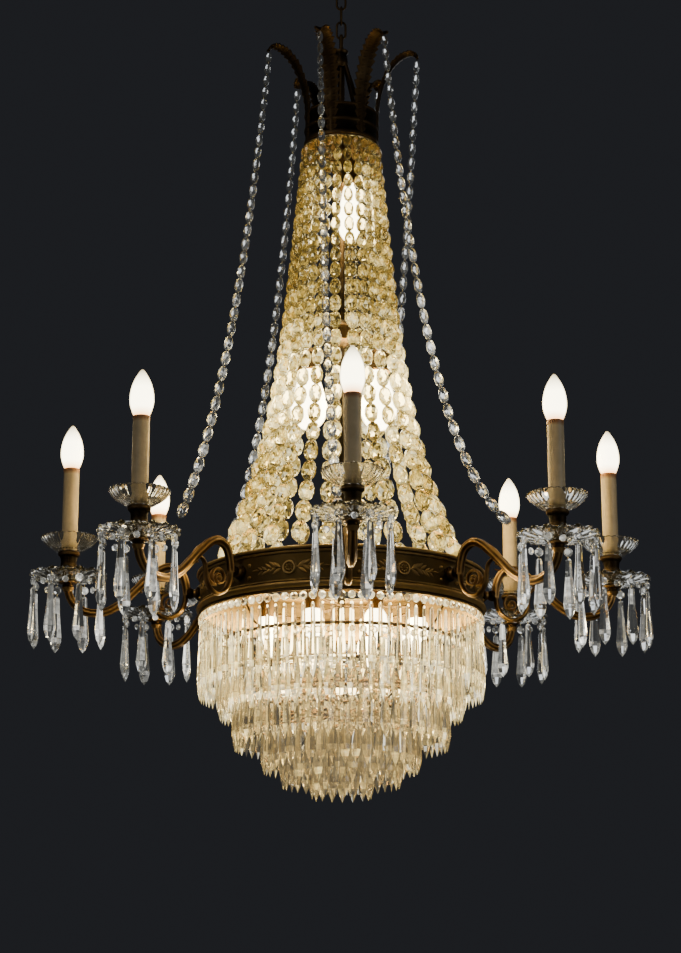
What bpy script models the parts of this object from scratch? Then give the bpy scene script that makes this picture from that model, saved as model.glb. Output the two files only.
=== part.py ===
"""A multi arm crystal chandelier: eight candle arms, a bead tent, a moulded ring and a six-tier prism basket.

Metres, +Z up. The origin is the middle of the hook plate's flat top face, which sits against the ceiling, so the
whole chandelier hangs below z = 0. Arm 1 points along -Y and the arms are numbered anticlockwise from above.
"""

import math

import bmesh
import bpy
from mathutils import Vector

NAME = "multi_arm_chandelier"
GAP = 0.0003

# Ceiling hook and chain
PLATE_RADIUS = 0.036
PLATE_THICKNESS = 0.005
HOOK_WIRE = 0.003
HOOK_BEND = 0.011
HOOK_SADDLE_Z = -0.042
LINK_WIRE = 0.002
LINK_BEND = 0.007
LINK_SPAN = 0.0303
LINK_COUNT = 4

# Top loop and its stirrup
EYE_WIRE = 0.003
EYE_BEND = 0.0065
BLOCK_TOP_Z = -0.1655
BLOCK_BOTTOM_Z = -0.1960
STIRRUP_WIRE = 0.003

# Crown
CROWN_RADIUS = 0.0576
CROWN_TOP_Z = -0.2790
CROWN_BOTTOM_Z = -0.3340
CROWN_FLOOR = 0.0025
FROND_DIRECTIONS = (-108, -59, -8, 58, 124, 198)
FROND_THICKNESS = 0.0024

# Lamp stem
STEM_RADIUS = 0.0055
STEM_TOP_Z = BLOCK_BOTTOM_Z - GAP
HUB_Z = -0.649
HOLDER_MOUTH_Z = -0.709
UPPER_MOUTH_Z = -0.408
HOLDER_TURN = math.radians(10)
UPPER_LAMP_AT = (0.012, -0.027)
INNER_LAMP_LEFT_AT = (-0.050, 0.0)
INNER_LAMP_RIGHT_AT = (0.058, 0.0)

# Main ring
RING_TOP_Z = -1.0330
RING_BOTTOM_Z = -1.0940
RING_FRIEZE = 0.2135
RING_RIM = 0.2190
RING_WALL_INSIDE = 0.2095
RING_FLANGE_INSIDE = 0.1860
RING_STEPS = 40

# Bead tent
TENT_STRANDS = 24
TENT_TOP_RADIUS = 0.057
TENT_BOTTOM_RADIUS = 0.1900
TENT_STRAIGHT_PART = 0.061
TENT_FLARE_POWER = 4.2
TENT_HOOP_WIRE = 0.0018
TENT_TOP_BEAD = 0.0050
TENT_BOTTOM_BEAD = 0.0090

# Prism basket: hoop radius, tip height and number of plain prisms of each tier
TIERS = (
    (0.2125, -1.226, 32),
    (0.1810, -1.256, 26),
    (0.1590, -1.301, 22),
    (0.1160, -1.334, 16),
    (0.0880, -1.356, 12),
    (0.0450, -1.372, 8),
)
TIER_HOOP = 0.004
TIER_DROP = 0.118
PRISM_WIDTH = 0.014
PRISM_DEPTH = 0.009
PRISM_POINT = 0.030
RIB_WIRE = 0.002
RIB_COUNT = 4

# Arms and their candles
ARM_COUNT = 8
ARM_REACH = 0.4125
ARM_ROOT_Z = -1.0625
BAR_RADIUS = 0.0058
SEAT_Z = -1.0455
SPIGOT_RADIUS = 0.005
SPIGOT_TOP_Z = -1.0200
PAN_RADIUS = 0.059
PAN_HOLE = 0.0056
PAN_THICKNESS = 0.004
PAN_DROP_CIRCLE = 0.0545
PAN_DROPS = 8
DISH_RADIUS = 0.0436
DISH_HOLE = 0.0130
DISH_RIM_Z = -0.9766
DISH_SEAT_Z = -1.0000
SLEEVE_RADIUS = 0.0122
SLEEVE_TOP_Z = -0.8700
BULB_RADIUS = 0.0175
BULB_HEIGHT = 0.069


def clear_scene():
    for leftover in list(bpy.data.objects):
        bpy.data.objects.remove(leftover, do_unlink=True)


def new_collection(name):
    group = bpy.data.collections.new(name)
    bpy.context.scene.collection.children.link(group)
    return group


def finish(name, colour, roughness, metallic, see_through=0.0, glow=0.0):
    """A Principled material; glow is the strength of the light that the surface gives off."""
    material = bpy.data.materials.new(name)
    material.use_nodes = True
    shader = material.node_tree.nodes["Principled BSDF"]
    shader.inputs["Base Color"].default_value = (*colour, 1)
    shader.inputs["Roughness"].default_value = roughness
    shader.inputs["Metallic"].default_value = metallic
    shader.inputs["Transmission Weight"].default_value = see_through
    shader.inputs["Emission Color"].default_value = (*colour, 1)
    shader.inputs["Emission Strength"].default_value = glow
    return material


# Shapes. Each function gives a plain mesh, so that copies can share it.


def baked(piece):
    """The piece's evaluated mesh, welded; the piece itself is removed."""
    bpy.context.view_layer.update()
    graph = bpy.context.evaluated_depsgraph_get()
    mesh = bpy.data.meshes.new_from_object(piece.evaluated_get(graph))
    editor = bmesh.new()
    editor.from_mesh(mesh)
    bmesh.ops.remove_doubles(editor, verts=editor.verts, dist=1e-6)
    bmesh.ops.recalc_face_normals(editor, faces=editor.faces)
    editor.to_mesh(mesh)
    editor.free()
    bpy.data.objects.remove(piece, do_unlink=True)
    return mesh


def temporary(data):
    piece = bpy.data.objects.new("shape", data)
    bpy.context.scene.collection.objects.link(piece)
    return piece


def turned(profile, steps, looped=False):
    """A solid turned about Z from (radius, height) points that run down its outer side."""
    outline = bpy.data.meshes.new("outline")
    edges = [(i, i + 1) for i in range(len(profile) - 1)]
    if looped:
        edges.append((len(profile) - 1, 0))
    outline.from_pydata([(radius, 0, height) for radius, height in profile], edges, [])
    piece = temporary(outline)
    screw = piece.modifiers.new("turn", "SCREW")
    screw.steps = steps
    screw.render_steps = steps
    screw.use_merge_vertices = True
    screw.merge_threshold = 0.0001
    return baked(piece)


def tube(points, radius, resolution=1, radii=None, looped=False):
    """A round bar along the points; radii scale its radius point by point."""
    curve = bpy.data.curves.new("bar", "CURVE")
    curve.dimensions = "3D"
    curve.bevel_depth = radius
    curve.bevel_resolution = resolution
    curve.use_fill_caps = not looped
    spline = curve.splines.new("POLY")
    spline.points.add(len(points) - 1)
    spline.use_cyclic_u = looped
    for index, point in enumerate(points):
        spline.points[index].co = (*point, 1)
        spline.points[index].radius = radii[index] if radii else 1.0
    return baked(temporary(curve))


def united(meshes, solver="EXACT"):
    """One closed body from overlapping meshes."""
    base, *others = [temporary(mesh) for mesh in meshes]
    for other in others:
        boolean = base.modifiers.new("join", "BOOLEAN")
        boolean.operation = "UNION"
        boolean.solver = solver
        boolean.object = other
    mesh = baked(base)
    for other in others:
        bpy.data.objects.remove(other, do_unlink=True)
    return mesh


def moved(mesh, offset=(0, 0, 0), turn=0.0):
    """A copy of the mesh, turned about Z and then shifted."""
    copy = mesh.copy()
    cosine = math.cos(turn)
    sine = math.sin(turn)
    for vertex in copy.vertices:
        x, y, z = vertex.co
        vertex.co = Vector((x * cosine - y * sine, x * sine + y * cosine, z)) + Vector(offset)
    return copy


def smooth_route(points, parts=2):
    """A Catmull-Rom curve through the points, each span cut into parts."""
    route = []
    ends = [points[0], *points, points[-1]]
    for before, start, end, after in zip(ends, ends[1:], ends[2:], ends[3:]):
        for part in range(parts):
            t = part / parts
            route.append(
                tuple(
                    0.5 * (2 * b + (c - a) * t + (2 * a - 5 * b + 4 * c - d) * t**2 + (3 * b - a - 3 * c + d) * t**3)
                    for a, b, c, d in zip(before, start, end, after)
                )
            )
    route.append(tuple(points[-1]))
    return route


def in_radial_plane(points):
    """(radius, height) points as 3D points in the XZ plane."""
    return [(radius, 0, height) for radius, height in points]


# Placing


def put(name, data, material, home, body=None, place=(0, 0, 0), turn=0.0):
    """A named node at a world place, hung on its body's empty."""
    node = bpy.data.objects.new(name, data)
    home.objects.link(node)
    if not data.materials:
        data.materials.append(material)
    node.location = Vector(place) - (body.location if body else Vector())
    node.rotation_euler.z = turn
    node.parent = body
    if node.type == "MESH":
        data.shade_smooth()
        data.set_sharp_from_angle(angle=math.radians(35))
    return node


def arm_angle(number):
    """The direction of an arm, counted from 1 at -Y."""
    return math.radians(-90) + (number - 1) * math.tau / ARM_COUNT


# Ceiling hook and chain


def ceiling_hook_mesh():
    plate = turned(
        [(0, 0), (PLATE_RADIUS - 0.001, 0), (PLATE_RADIUS, -0.001), (PLATE_RADIUS, -PLATE_THICKNESS), (0, -PLATE_THICKNESS)],
        24,
    )
    centre_z = HOOK_SADDLE_Z + HOOK_BEND
    route = [(0, -0.003), (0, -0.012), (0.0055, -0.0175), (0.0100, -0.0240)]
    for step in range(9):
        angle = -math.pi * step / 8
        route.append((HOOK_BEND * math.cos(angle), centre_z + HOOK_BEND * math.sin(angle)))
    route.append((-HOOK_BEND - 0.001, centre_z + 0.005))
    return united([plate, tube(in_radial_plane(route), HOOK_WIRE)])


def link_mesh(top_z):
    """An oval link in the XZ plane, whose upper wire is at top_z above its own origin."""
    route = []
    for centre_z, start in ((top_z - LINK_BEND, 0), (top_z - LINK_SPAN + LINK_BEND, math.pi)):
        for step in range(6):
            angle = start + math.pi * step / 5
            route.append((LINK_BEND * math.cos(angle), 0, centre_z + LINK_BEND * math.sin(angle)))
    return tube(route, LINK_WIRE, looped=True)


def chain_hinges():
    """(hinge height, upper wire height) of each link, and the hinge height of the top loop."""
    hinges = []
    wire_above = HOOK_SADDLE_Z
    reach = HOOK_WIRE + LINK_WIRE + GAP
    for _ in range(LINK_COUNT):
        top = wire_above + reach
        hinges.append((wire_above, top))
        wire_above = top - LINK_SPAN
        reach = 2 * LINK_WIRE + GAP
    return hinges, wire_above


# Crown and top loop


def top_loop_mesh(hinge_z):
    eye_top = hinge_z + LINK_WIRE + EYE_WIRE + GAP
    centre_z = eye_top - EYE_BEND
    route = [(0, EYE_BEND, BLOCK_TOP_Z - 0.004)]
    for step in range(9):
        angle = math.pi * step / 8
        route.append((0, EYE_BEND * math.cos(angle), centre_z + EYE_BEND * math.sin(angle)))
    route.append((0, -EYE_BEND, BLOCK_TOP_Z - 0.004))
    block = turned(
        [
            (0, BLOCK_TOP_Z),
            (0.0100, BLOCK_TOP_Z),
            (0.0115, BLOCK_TOP_Z - 0.003),
            (0.0095, BLOCK_TOP_Z - 0.008),
            (0.0115, BLOCK_BOTTOM_Z + 0.006),
            (0.0090, BLOCK_BOTTOM_Z),
            (0, BLOCK_BOTTOM_Z),
        ],
        12,
    )
    floor_z = CROWN_BOTTOM_Z + CROWN_FLOOR + GAP
    leg = tube(
        in_radial_plane([(0.0085, -0.188), (0.0150, -0.208), (0.0300, -0.250), (0.0455, -0.292), (0.0500, floor_z)]),
        STIRRUP_WIRE,
    )
    legs = [moved(leg, turn=math.radians(45) + quarter * math.tau / 4) for quarter in range(4)]
    return united([block, tube(route, EYE_WIRE), *legs])


def frond_mesh():
    """One palm frond along +X: it lies on the band, rises and curls outward."""
    stations = (
        (0.0574, CROWN_BOTTOM_Z + 0.004, 0.0110),
        (0.0574, -0.2850, 0.0130),
        (0.0650, -0.2350, 0.0150),
        (0.0850, -0.1940, 0.0130),
        (0.1080, -0.1765, 0.0080),
        (0.1220, -0.1780, 0.0025),
    )
    editor = bmesh.new()
    rows = []
    for radius, height, half in stations:
        angle = half / radius
        side = (radius * math.cos(angle), radius * math.sin(angle))
        rows.append(
            [
                editor.verts.new((side[0], -side[1], height)),
                editor.verts.new((radius, 0, height)),
                editor.verts.new((side[0], side[1], height)),
            ]
        )
    for lower, upper in zip(rows, rows[1:]):
        for column in range(2):
            editor.faces.new((lower[column], lower[column + 1], upper[column + 1], upper[column]))
    sheet = bpy.data.meshes.new("frond")
    editor.to_mesh(sheet)
    editor.free()
    piece = temporary(sheet)
    thicken = piece.modifiers.new("thickness", "SOLIDIFY")
    thicken.thickness = FROND_THICKNESS
    thicken.offset = 0
    return baked(piece)


def crown_mesh():
    band = turned(
        [
            (CROWN_RADIUS + 0.0014, CROWN_TOP_Z),
            (CROWN_RADIUS, CROWN_TOP_Z - 0.0065),
            (CROWN_RADIUS, CROWN_BOTTOM_Z + 0.0065),
            (CROWN_RADIUS + 0.0020, CROWN_BOTTOM_Z),
            (0.0095, CROWN_BOTTOM_Z),
            (0.0095, CROWN_BOTTOM_Z + CROWN_FLOOR),
            (CROWN_RADIUS - 0.0028, CROWN_BOTTOM_Z + CROWN_FLOOR),
            (CROWN_RADIUS - 0.0028, CROWN_TOP_Z),
        ],
        20,
        looped=True,
    )
    frond = frond_mesh()
    fronds = [moved(frond, turn=math.radians(direction)) for direction in FROND_DIRECTIONS]
    return united([band, *fronds])


# Lamp stem


def holder_mesh(mouth_z, outside, bore, depth):
    """A lampholder that opens downwards."""
    top_z = mouth_z + depth + 0.015
    return turned(
        [
            (0, top_z),
            (outside * 0.55, top_z),
            (outside, top_z - 0.009),
            (outside, mouth_z),
            (bore, mouth_z),
            (bore, mouth_z + depth),
            (0, mouth_z + depth),
        ],
        10,
    )


def lamp_stem_mesh(nut_z):
    rod = turned(
        [
            (0, STEM_TOP_Z),
            (STEM_RADIUS, STEM_TOP_Z),
            (STEM_RADIUS, HUB_Z + 0.017),
            (0.0200, HUB_Z + 0.011),
            (0.0200, HUB_Z - 0.011),
            (STEM_RADIUS, HUB_Z - 0.018),
            (STEM_RADIUS, nut_z),
            (0.0100, nut_z),
            (0.0100, nut_z - 0.007),
            (0, nut_z - 0.007),
        ],
        10,
    )
    pieces = [rod]
    for x, y in (INNER_LAMP_LEFT_AT, INNER_LAMP_RIGHT_AT):
        side = math.copysign(1, x)
        holder_top = HOLDER_MOUTH_Z + 0.030
        pieces.append(moved(holder_mesh(HOLDER_MOUTH_Z, 0.0175, 0.0146, 0.0210), (x, y, 0), HOLDER_TURN))
        route = [(side * 0.014, y, HUB_Z), (x - side * 0.012, y, HUB_Z + 0.004), (x, y, HUB_Z - 0.010), (x, y, holder_top)]
        pieces.append(tube(route, 0.004))
    x, y = UPPER_LAMP_AT
    holder_top = UPPER_MOUTH_Z + 0.035
    pieces.append(moved(holder_mesh(UPPER_MOUTH_Z, 0.0130, 0.0084, 0.0270), (x, y, 0), HOLDER_TURN))
    pieces.append(tube([(0, 0, holder_top + 0.016), (x * 0.8, y * 0.8, holder_top + 0.014), (x, y, holder_top)], 0.0035))
    return united(pieces, "MANIFOLD")


def pear_lamp_mesh():
    """A pear-shaped lamp that hangs from its cap; its origin is at the holder's mouth."""
    return turned(
        [
            (0, 0.018),
            (0.0132, 0.018),
            (0.0132, -0.002),
            (0.0160, -0.008),
            (0.0285, -0.048),
            (0.0290, -0.064),
            (0.0190, -0.086),
            (0, -0.095),
        ],
        12,
    )


def upper_lamp_mesh():
    return turned(
        [
            (0, 0.024),
            (0.0070, 0.024),
            (0.0070, -0.002),
            (0.0150, -0.018),
            (0.0190, -0.042),
            (0.0165, -0.068),
            (0.0080, -0.090),
            (0, -0.097),
        ],
        12,
    )


# Main ring and bead tent


def main_ring_mesh():
    return turned(
        [
            (RING_RIM, RING_TOP_Z),
            (RING_RIM, RING_TOP_Z - 0.0075),
            (RING_FRIEZE, RING_TOP_Z - 0.0105),
            (RING_FRIEZE, RING_BOTTOM_Z + 0.0125),
            (RING_RIM, RING_BOTTOM_Z + 0.0095),
            (RING_RIM, RING_BOTTOM_Z),
            (RING_WALL_INSIDE, RING_BOTTOM_Z),
            (RING_WALL_INSIDE, RING_TOP_Z - 0.0035),
            (RING_FLANGE_INSIDE, RING_TOP_Z - 0.0035),
            (RING_FLANGE_INSIDE, RING_TOP_Z),
        ],
        RING_STEPS,
        looped=True,
    )


def tent_top_z():
    return CROWN_BOTTOM_Z - GAP - TENT_HOOP_WIRE


def tent_bottom_z():
    return RING_TOP_Z + GAP + TENT_HOOP_WIRE


def tent_radius(share):
    """How far a strand stands from the axis at this share of the way down."""
    flare = TENT_BOTTOM_RADIUS - TENT_TOP_RADIUS - TENT_STRAIGHT_PART
    return TENT_TOP_RADIUS + TENT_STRAIGHT_PART * share + flare * share**TENT_FLARE_POWER


def hoop_route(radius, height, sides):
    return [
        (radius * math.cos(math.tau * side / sides), radius * math.sin(math.tau * side / sides), height)
        for side in range(sides)
    ]


def bead_tent_mesh():
    """Each strand is a plain tapered bar; the hoops at its ends hold the strands in one body."""
    shares = (0.0, 0.02, 0.40, 0.70, 0.88, 1.0)
    route = []
    radii = []
    for share in shares:
        height = tent_top_z() + (tent_bottom_z() - tent_top_z()) * share
        route.append((tent_radius(share), height))
        bead = TENT_TOP_BEAD + (TENT_BOTTOM_BEAD - TENT_TOP_BEAD) * share
        radii.append(TENT_HOOP_WIRE * 0.7 if share in (0.0, 1.0) else bead)
    strand = tube(in_radial_plane(route), 1.0, resolution=0, radii=radii)
    strands = [moved(strand, turn=number * math.tau / TENT_STRANDS) for number in range(TENT_STRANDS)]
    top = tube(hoop_route(TENT_TOP_RADIUS, tent_top_z(), TENT_STRANDS), TENT_HOOP_WIRE, 0, looped=True)
    bottom = tube(hoop_route(TENT_BOTTOM_RADIUS, tent_bottom_z(), TENT_STRANDS), TENT_HOOP_WIRE, 0, looped=True)
    return united([top, bottom, *strands], "MANIFOLD")


# Prism basket


def tier_hoop_z(number):
    """The height of a tier's hoop top; the first hoop lies against the ring."""
    return RING_BOTTOM_Z - GAP if number == 0 else TIERS[number][1] + TIER_DROP


def prism_tier_mesh(number):
    """A square hoop with one pointed prism drawn down from the underside of each of its segments."""
    radius, tip_z, count = TIERS[number]
    top_z = tier_hoop_z(number)
    bottom_z = top_z - TIER_HOOP
    inside = radius - TIER_HOOP / 2
    outside = radius + TIER_HOOP / 2
    mesh = turned([(outside, top_z), (outside, bottom_z), (inside, bottom_z), (inside, top_z)], count, looped=True)
    editor = bmesh.new()
    editor.from_mesh(mesh)
    under = [face for face in editor.faces if face.normal.z < -0.9]
    bmesh.ops.inset_individual(editor, faces=under, thickness=0.001)
    ends = bmesh.ops.extrude_discrete_faces(editor, faces=under)["faces"]
    for face in ends:
        centre = face.calc_center_median()
        outward = Vector((centre.x, centre.y, 0)).normalized()
        across = Vector((-outward.y, outward.x, 0))
        axis = outward * radius
        for vertex in face.verts:
            offset = vertex.co - centre
            depth = math.copysign(PRISM_DEPTH / 2, offset.dot(outward))
            width = math.copysign(PRISM_WIDTH / 2, offset.dot(across))
            vertex.co = axis + outward * depth + across * width + Vector((0, 0, tip_z + PRISM_POINT))
    bmesh.ops.poke(editor, faces=ends, offset=PRISM_POINT)
    bmesh.ops.recalc_face_normals(editor, faces=editor.faces)
    editor.to_mesh(mesh)
    editor.free()
    return mesh


def rib_route():
    """A rib runs down inside the ring, then steps inward past the inside of each hoop to the hub."""
    reach = RIB_WIRE + 2 * GAP
    wall = RING_WALL_INSIDE * math.cos(math.pi / RING_STEPS) - reach
    route = [(wall, RING_TOP_Z - 0.020), (wall, RING_BOTTOM_Z - 0.006)]
    for number in range(1, len(TIERS)):
        radius, _, count = TIERS[number]
        top_z = tier_hoop_z(number)
        inside = (radius - TIER_HOOP / 2) * math.cos(math.pi / count) - reach
        route.append((radius + TIER_HOOP, top_z + 0.008))
        route.append((inside - 0.0010, top_z + 0.003))
        route.append((inside - 0.0010, top_z - 0.004))
    route.append((0.010, tier_hoop_z(len(TIERS) - 1) - 0.004))
    return route


def basket_frame_mesh():
    hub_z = tier_hoop_z(len(TIERS) - 1) - 0.004
    hub = turned(
        [
            (0.0180, hub_z + 0.003),
            (0.0180, hub_z - 0.003),
            (STEM_RADIUS + 0.0008, hub_z - 0.003),
            (STEM_RADIUS + 0.0008, hub_z + 0.003),
        ],
        16,
        looped=True,
    )
    rib = tube(in_radial_plane(rib_route()), RIB_WIRE, resolution=0)
    ribs = [moved(rib, turn=math.radians(45) + number * math.tau / RIB_COUNT) for number in range(RIB_COUNT)]
    return united([hub, *ribs]), hub_z - 0.003 - GAP


# Arms


def arm_mesh():
    """One arm along +X: boss, S-shaped bar over a closed loop, leaf scroll with its volute, pan seat and spigot."""
    boss = tube(
        [(RING_FRIEZE + GAP, 0, ARM_ROOT_Z), (0.2200, 0, ARM_ROOT_Z), (0.2260, 0, ARM_ROOT_Z), (0.2360, 0, ARM_ROOT_Z)],
        0.010,
        radii=[1.0, 1.0, 0.6, 0.75],
    )
    bar = smooth_route(
        [
            (0.2350, -1.0640),
            (0.2375, -1.0450),
            (0.2630, -1.0215),
            (0.3010, -1.0450),
            (0.3450, -1.0880),
            (0.3970, -1.0860),
            (0.4125, -1.0540),
        ]
    )
    scroll = smooth_route(
        [(0.2360, -1.0600), (0.2420, -1.0870), (0.2640, -1.1005), (0.2840, -1.0760), (0.2820, -1.0520), (0.2960, -1.0410)]
    )
    volute = [(0.2780, -1.0920), (0.2640, -1.0840), (0.2540, -1.0740), (0.2580, -1.0600), (0.2690, -1.0620), (0.2670, -1.0710)]
    seat = turned(
        [
            (0, SPIGOT_TOP_Z),
            (SPIGOT_RADIUS, SPIGOT_TOP_Z),
            (SPIGOT_RADIUS, SEAT_Z),
            (0.0140, SEAT_Z),
            (0.0140, SEAT_Z - 0.0035),
            (0.0060, SEAT_Z - 0.0180),
            (0, SEAT_Z - 0.0180),
        ],
        8,
    )
    thin = [1.0 - 0.5 * step / (len(scroll) - 1) for step in range(len(scroll))]
    return united(
        [
            boss,
            tube(in_radial_plane(bar), BAR_RADIUS, 0),
            tube(in_radial_plane(scroll), BAR_RADIUS, 0, thin),
            tube(in_radial_plane(volute), 0.003, resolution=0),
            moved(seat, (ARM_REACH, 0, 0)),
        ]
    )


def drip_pan_mesh():
    """The pan lies on the arm's seat, and pointed drops hang from its rim; its origin is on the candle's axis."""
    under_z = GAP
    pan = turned(
        [
            (PAN_RADIUS, under_z + 0.0107),
            (PAN_RADIUS, under_z + 0.0067),
            (0.0120, under_z),
            (PAN_HOLE, under_z),
            (PAN_HOLE, under_z + PAN_THICKNESS),
            (0.0140, under_z + PAN_THICKNESS),
        ],
        12,
        looped=True,
    )
    drop = turned([(0, 0.0080), (0.0016, 0.0080), (0.0070, -0.0720), (0, -0.1005)], 4)
    drops = []
    for number in range(PAN_DROPS):
        angle = (number + 0.5) * math.tau / PAN_DROPS
        place = (PAN_DROP_CIRCLE * math.cos(angle), PAN_DROP_CIRCLE * math.sin(angle), 0)
        drops.append(moved(drop, place, angle))
    return united([pan, *drops])


def candle_dish_mesh():
    """A fluted bowl round the sleeve's foot; its origin is on the candle's axis at the dish's seat."""
    rim_z = DISH_RIM_Z - DISH_SEAT_Z
    return turned(
        [
            (DISH_RADIUS, rim_z),
            (DISH_RADIUS, rim_z - 0.0040),
            (0.0200, GAP),
            (DISH_HOLE, GAP),
            (DISH_HOLE, GAP + 0.0040),
            (DISH_RADIUS - 0.0046, rim_z),
        ],
        12,
        looped=True,
    )


def candle_mesh():
    """Candle cup and sleeve: a blind hole for the spigot below, a bore for the lamp's cap above."""
    foot_z = SEAT_Z + GAP + PAN_THICKNESS + GAP
    return turned(
        [
            (0, SLEEVE_TOP_Z - 0.0280),
            (0.0078, SLEEVE_TOP_Z - 0.0280),
            (0.0078, SLEEVE_TOP_Z),
            (SLEEVE_RADIUS, SLEEVE_TOP_Z),
            (SLEEVE_RADIUS, DISH_SEAT_Z),
            (0.0164, DISH_SEAT_Z),
            (0.0164, DISH_SEAT_Z - 0.0060),
            (0.0124, DISH_SEAT_Z - 0.0100),
            (0.0124, foot_z),
            (0.0058, foot_z),
            (0.0058, SPIGOT_TOP_Z + 0.0015),
            (0, SPIGOT_TOP_Z + 0.0015),
        ],
        8,
    )


def candle_bulb_mesh():
    """A candle-shaped bulb and its screw cap; its origin is on the sleeve's top."""
    return turned(
        [
            (0, BULB_HEIGHT),
            (0.0060, BULB_HEIGHT - 0.0100),
            (0.0140, BULB_HEIGHT - 0.0280),
            (BULB_RADIUS, BULB_HEIGHT - 0.0430),
            (0.0155, BULB_HEIGHT - 0.0580),
            (0.0095, 0.0012),
            (0.0070, 0.0008),
            (0.0070, -0.0255),
            (0, -0.0255),
        ],
        8,
    )


def empty_at(name, place, home):
    empty = bpy.data.objects.new(name, None)
    empty.empty_display_size = 0.02
    empty.location = place
    home.objects.link(empty)
    return empty


def build_chain(home, bronze):
    hinges, loop_hinge_z = chain_hinges()
    for number, (hinge_z, wire_z) in enumerate(hinges, start=1):
        across = math.pi / 2 if number % 2 else 0.0
        put(f"chain_link_{number}", link_mesh(wire_z - hinge_z), bronze, home, None, (0, 0, hinge_z), across)
    return loop_hinge_z


def build_arms(home, body, bronze, crystal, sleeve_white, lamp_glow):
    arm = arm_mesh()
    pan = drip_pan_mesh()
    dish = candle_dish_mesh()
    candle = candle_mesh()
    bulb = candle_bulb_mesh()
    for number in range(1, ARM_COUNT + 1):
        angle = arm_angle(number)
        x = ARM_REACH * math.cos(angle)
        y = ARM_REACH * math.sin(angle)
        put(f"arm_{number}", arm, bronze, home, body, (0, 0, 0), angle)
        put(f"drip_pan_{number}", pan, crystal, home, body, (x, y, SEAT_Z), angle)
        put(f"candle_dish_{number}", dish, crystal, home, body, (x, y, DISH_SEAT_Z), angle)
        put(f"candle_{number}", candle, sleeve_white, home, body, (x, y, 0), angle)
        put(f"candle_bulb_{number}", bulb, lamp_glow, home, body, (x, y, SLEEVE_TOP_Z), angle)


def main():
    clear_scene()
    home = new_collection(NAME)
    bronze = finish("antique_bronze", (0.16, 0.095, 0.04), 0.38, 1.0)
    crystal = finish("clear_crystal", (0.92, 0.88, 0.78), 0.05, 0.0, see_through=0.9)
    sleeve_white = finish("ivory_sleeve", (0.62, 0.58, 0.50), 0.5, 0.0)
    lamp_glow = finish("lamp_glass", (1.0, 0.82, 0.55), 0.2, 0.0, glow=6.0)

    put("ceiling_hook", ceiling_hook_mesh(), bronze, home)
    loop_hinge_z = build_chain(home, bronze)

    body = empty_at("chandelier_hinge", (0, 0, loop_hinge_z), home)
    bpy.context.view_layer.update()
    frame, nut_z = basket_frame_mesh()
    put("top_loop", top_loop_mesh(loop_hinge_z), bronze, home, body)
    put("crown", crown_mesh(), bronze, home, body)
    put("lamp_stem", lamp_stem_mesh(nut_z), bronze, home, body)
    put("main_ring", main_ring_mesh(), bronze, home, body)
    put("bead_tent", bead_tent_mesh(), crystal, home, body)
    put("basket_frame", frame, bronze, home, body)
    for number in range(len(TIERS)):
        put(f"prism_tier_{number + 1}", prism_tier_mesh(number), crystal, home, body)
    pear = pear_lamp_mesh()
    put("inner_lamp_left", pear, lamp_glow, home, body, (*INNER_LAMP_LEFT_AT, HOLDER_MOUTH_Z))
    put("inner_lamp_right", pear, lamp_glow, home, body, (*INNER_LAMP_RIGHT_AT, HOLDER_MOUTH_Z))
    put("upper_lamp", upper_lamp_mesh(), lamp_glow, home, body, (*UPPER_LAMP_AT, UPPER_MOUTH_Z))
    build_arms(home, body, bronze, crystal, sleeve_white, lamp_glow)


main()
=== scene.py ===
"""A crystal chandelier with eight candle arms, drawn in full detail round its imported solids.

Metres, +Z up, in the solids' own frame: the origin is on the ceiling, and arm 1 points along -Y.
"""

import math

import bpy
import numpy as np
from mathutils import Matrix, Vector


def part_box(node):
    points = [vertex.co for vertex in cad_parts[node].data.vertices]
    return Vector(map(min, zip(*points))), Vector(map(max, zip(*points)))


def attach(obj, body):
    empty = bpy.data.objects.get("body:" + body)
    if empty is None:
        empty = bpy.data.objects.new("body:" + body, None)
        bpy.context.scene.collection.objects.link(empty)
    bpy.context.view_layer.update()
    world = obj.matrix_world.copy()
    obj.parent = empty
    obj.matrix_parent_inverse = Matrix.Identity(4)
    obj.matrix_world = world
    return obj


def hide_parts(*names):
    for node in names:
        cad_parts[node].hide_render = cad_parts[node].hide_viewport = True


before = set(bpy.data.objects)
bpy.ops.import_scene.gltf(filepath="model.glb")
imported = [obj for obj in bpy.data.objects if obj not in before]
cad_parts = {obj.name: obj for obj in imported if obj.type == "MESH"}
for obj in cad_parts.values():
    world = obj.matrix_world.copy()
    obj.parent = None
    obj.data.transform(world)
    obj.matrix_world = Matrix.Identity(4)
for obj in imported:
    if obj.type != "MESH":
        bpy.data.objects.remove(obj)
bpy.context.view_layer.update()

RNG = np.random.RandomState(7)
TAU = math.tau
BODY = "chandelier"
ARMS = range(1, 9)

# Ring
RING_FRIEZE = 0.2135
RING_WALL_INSIDE = 0.2095
RING_FLANGE_INSIDE = 0.1860
# Tent
TENT_STRANDS = 24
TENT_TOP_RADIUS = 0.057
TENT_BOTTOM_RADIUS = 0.190
TENT_STRAIGHT_PART = 0.061
TENT_FLARE_POWER = 4.2
TENT_BEAD_TOP = (0.0138, 0.0208)
TENT_BEAD_BOTTOM = (0.0245, 0.0360)
BEAD_GAP = 0.0018
# Side strands: frond direction in degrees, arm of the pan, way from the pan's middle to its rim, and slack
SIDE_STRANDS = (
    (198, 8, (1.0, 0.0), 1.008),
    (-108, 1, (-0.30, 0.90), 1.012),
    (-59, 2, (-1.0, 0.1), 1.022),
    (-8, 5, (0.9, -0.4), 1.020),
    (58, 5, (-0.9, -0.4), 1.020),
    (124, 6, (0.8, -0.6), 1.040),
)
SIDE_BEAD_TOP = (0.0104, 0.0198)
SIDE_BEAD_BOTTOM = (0.0158, 0.0290)
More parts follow.
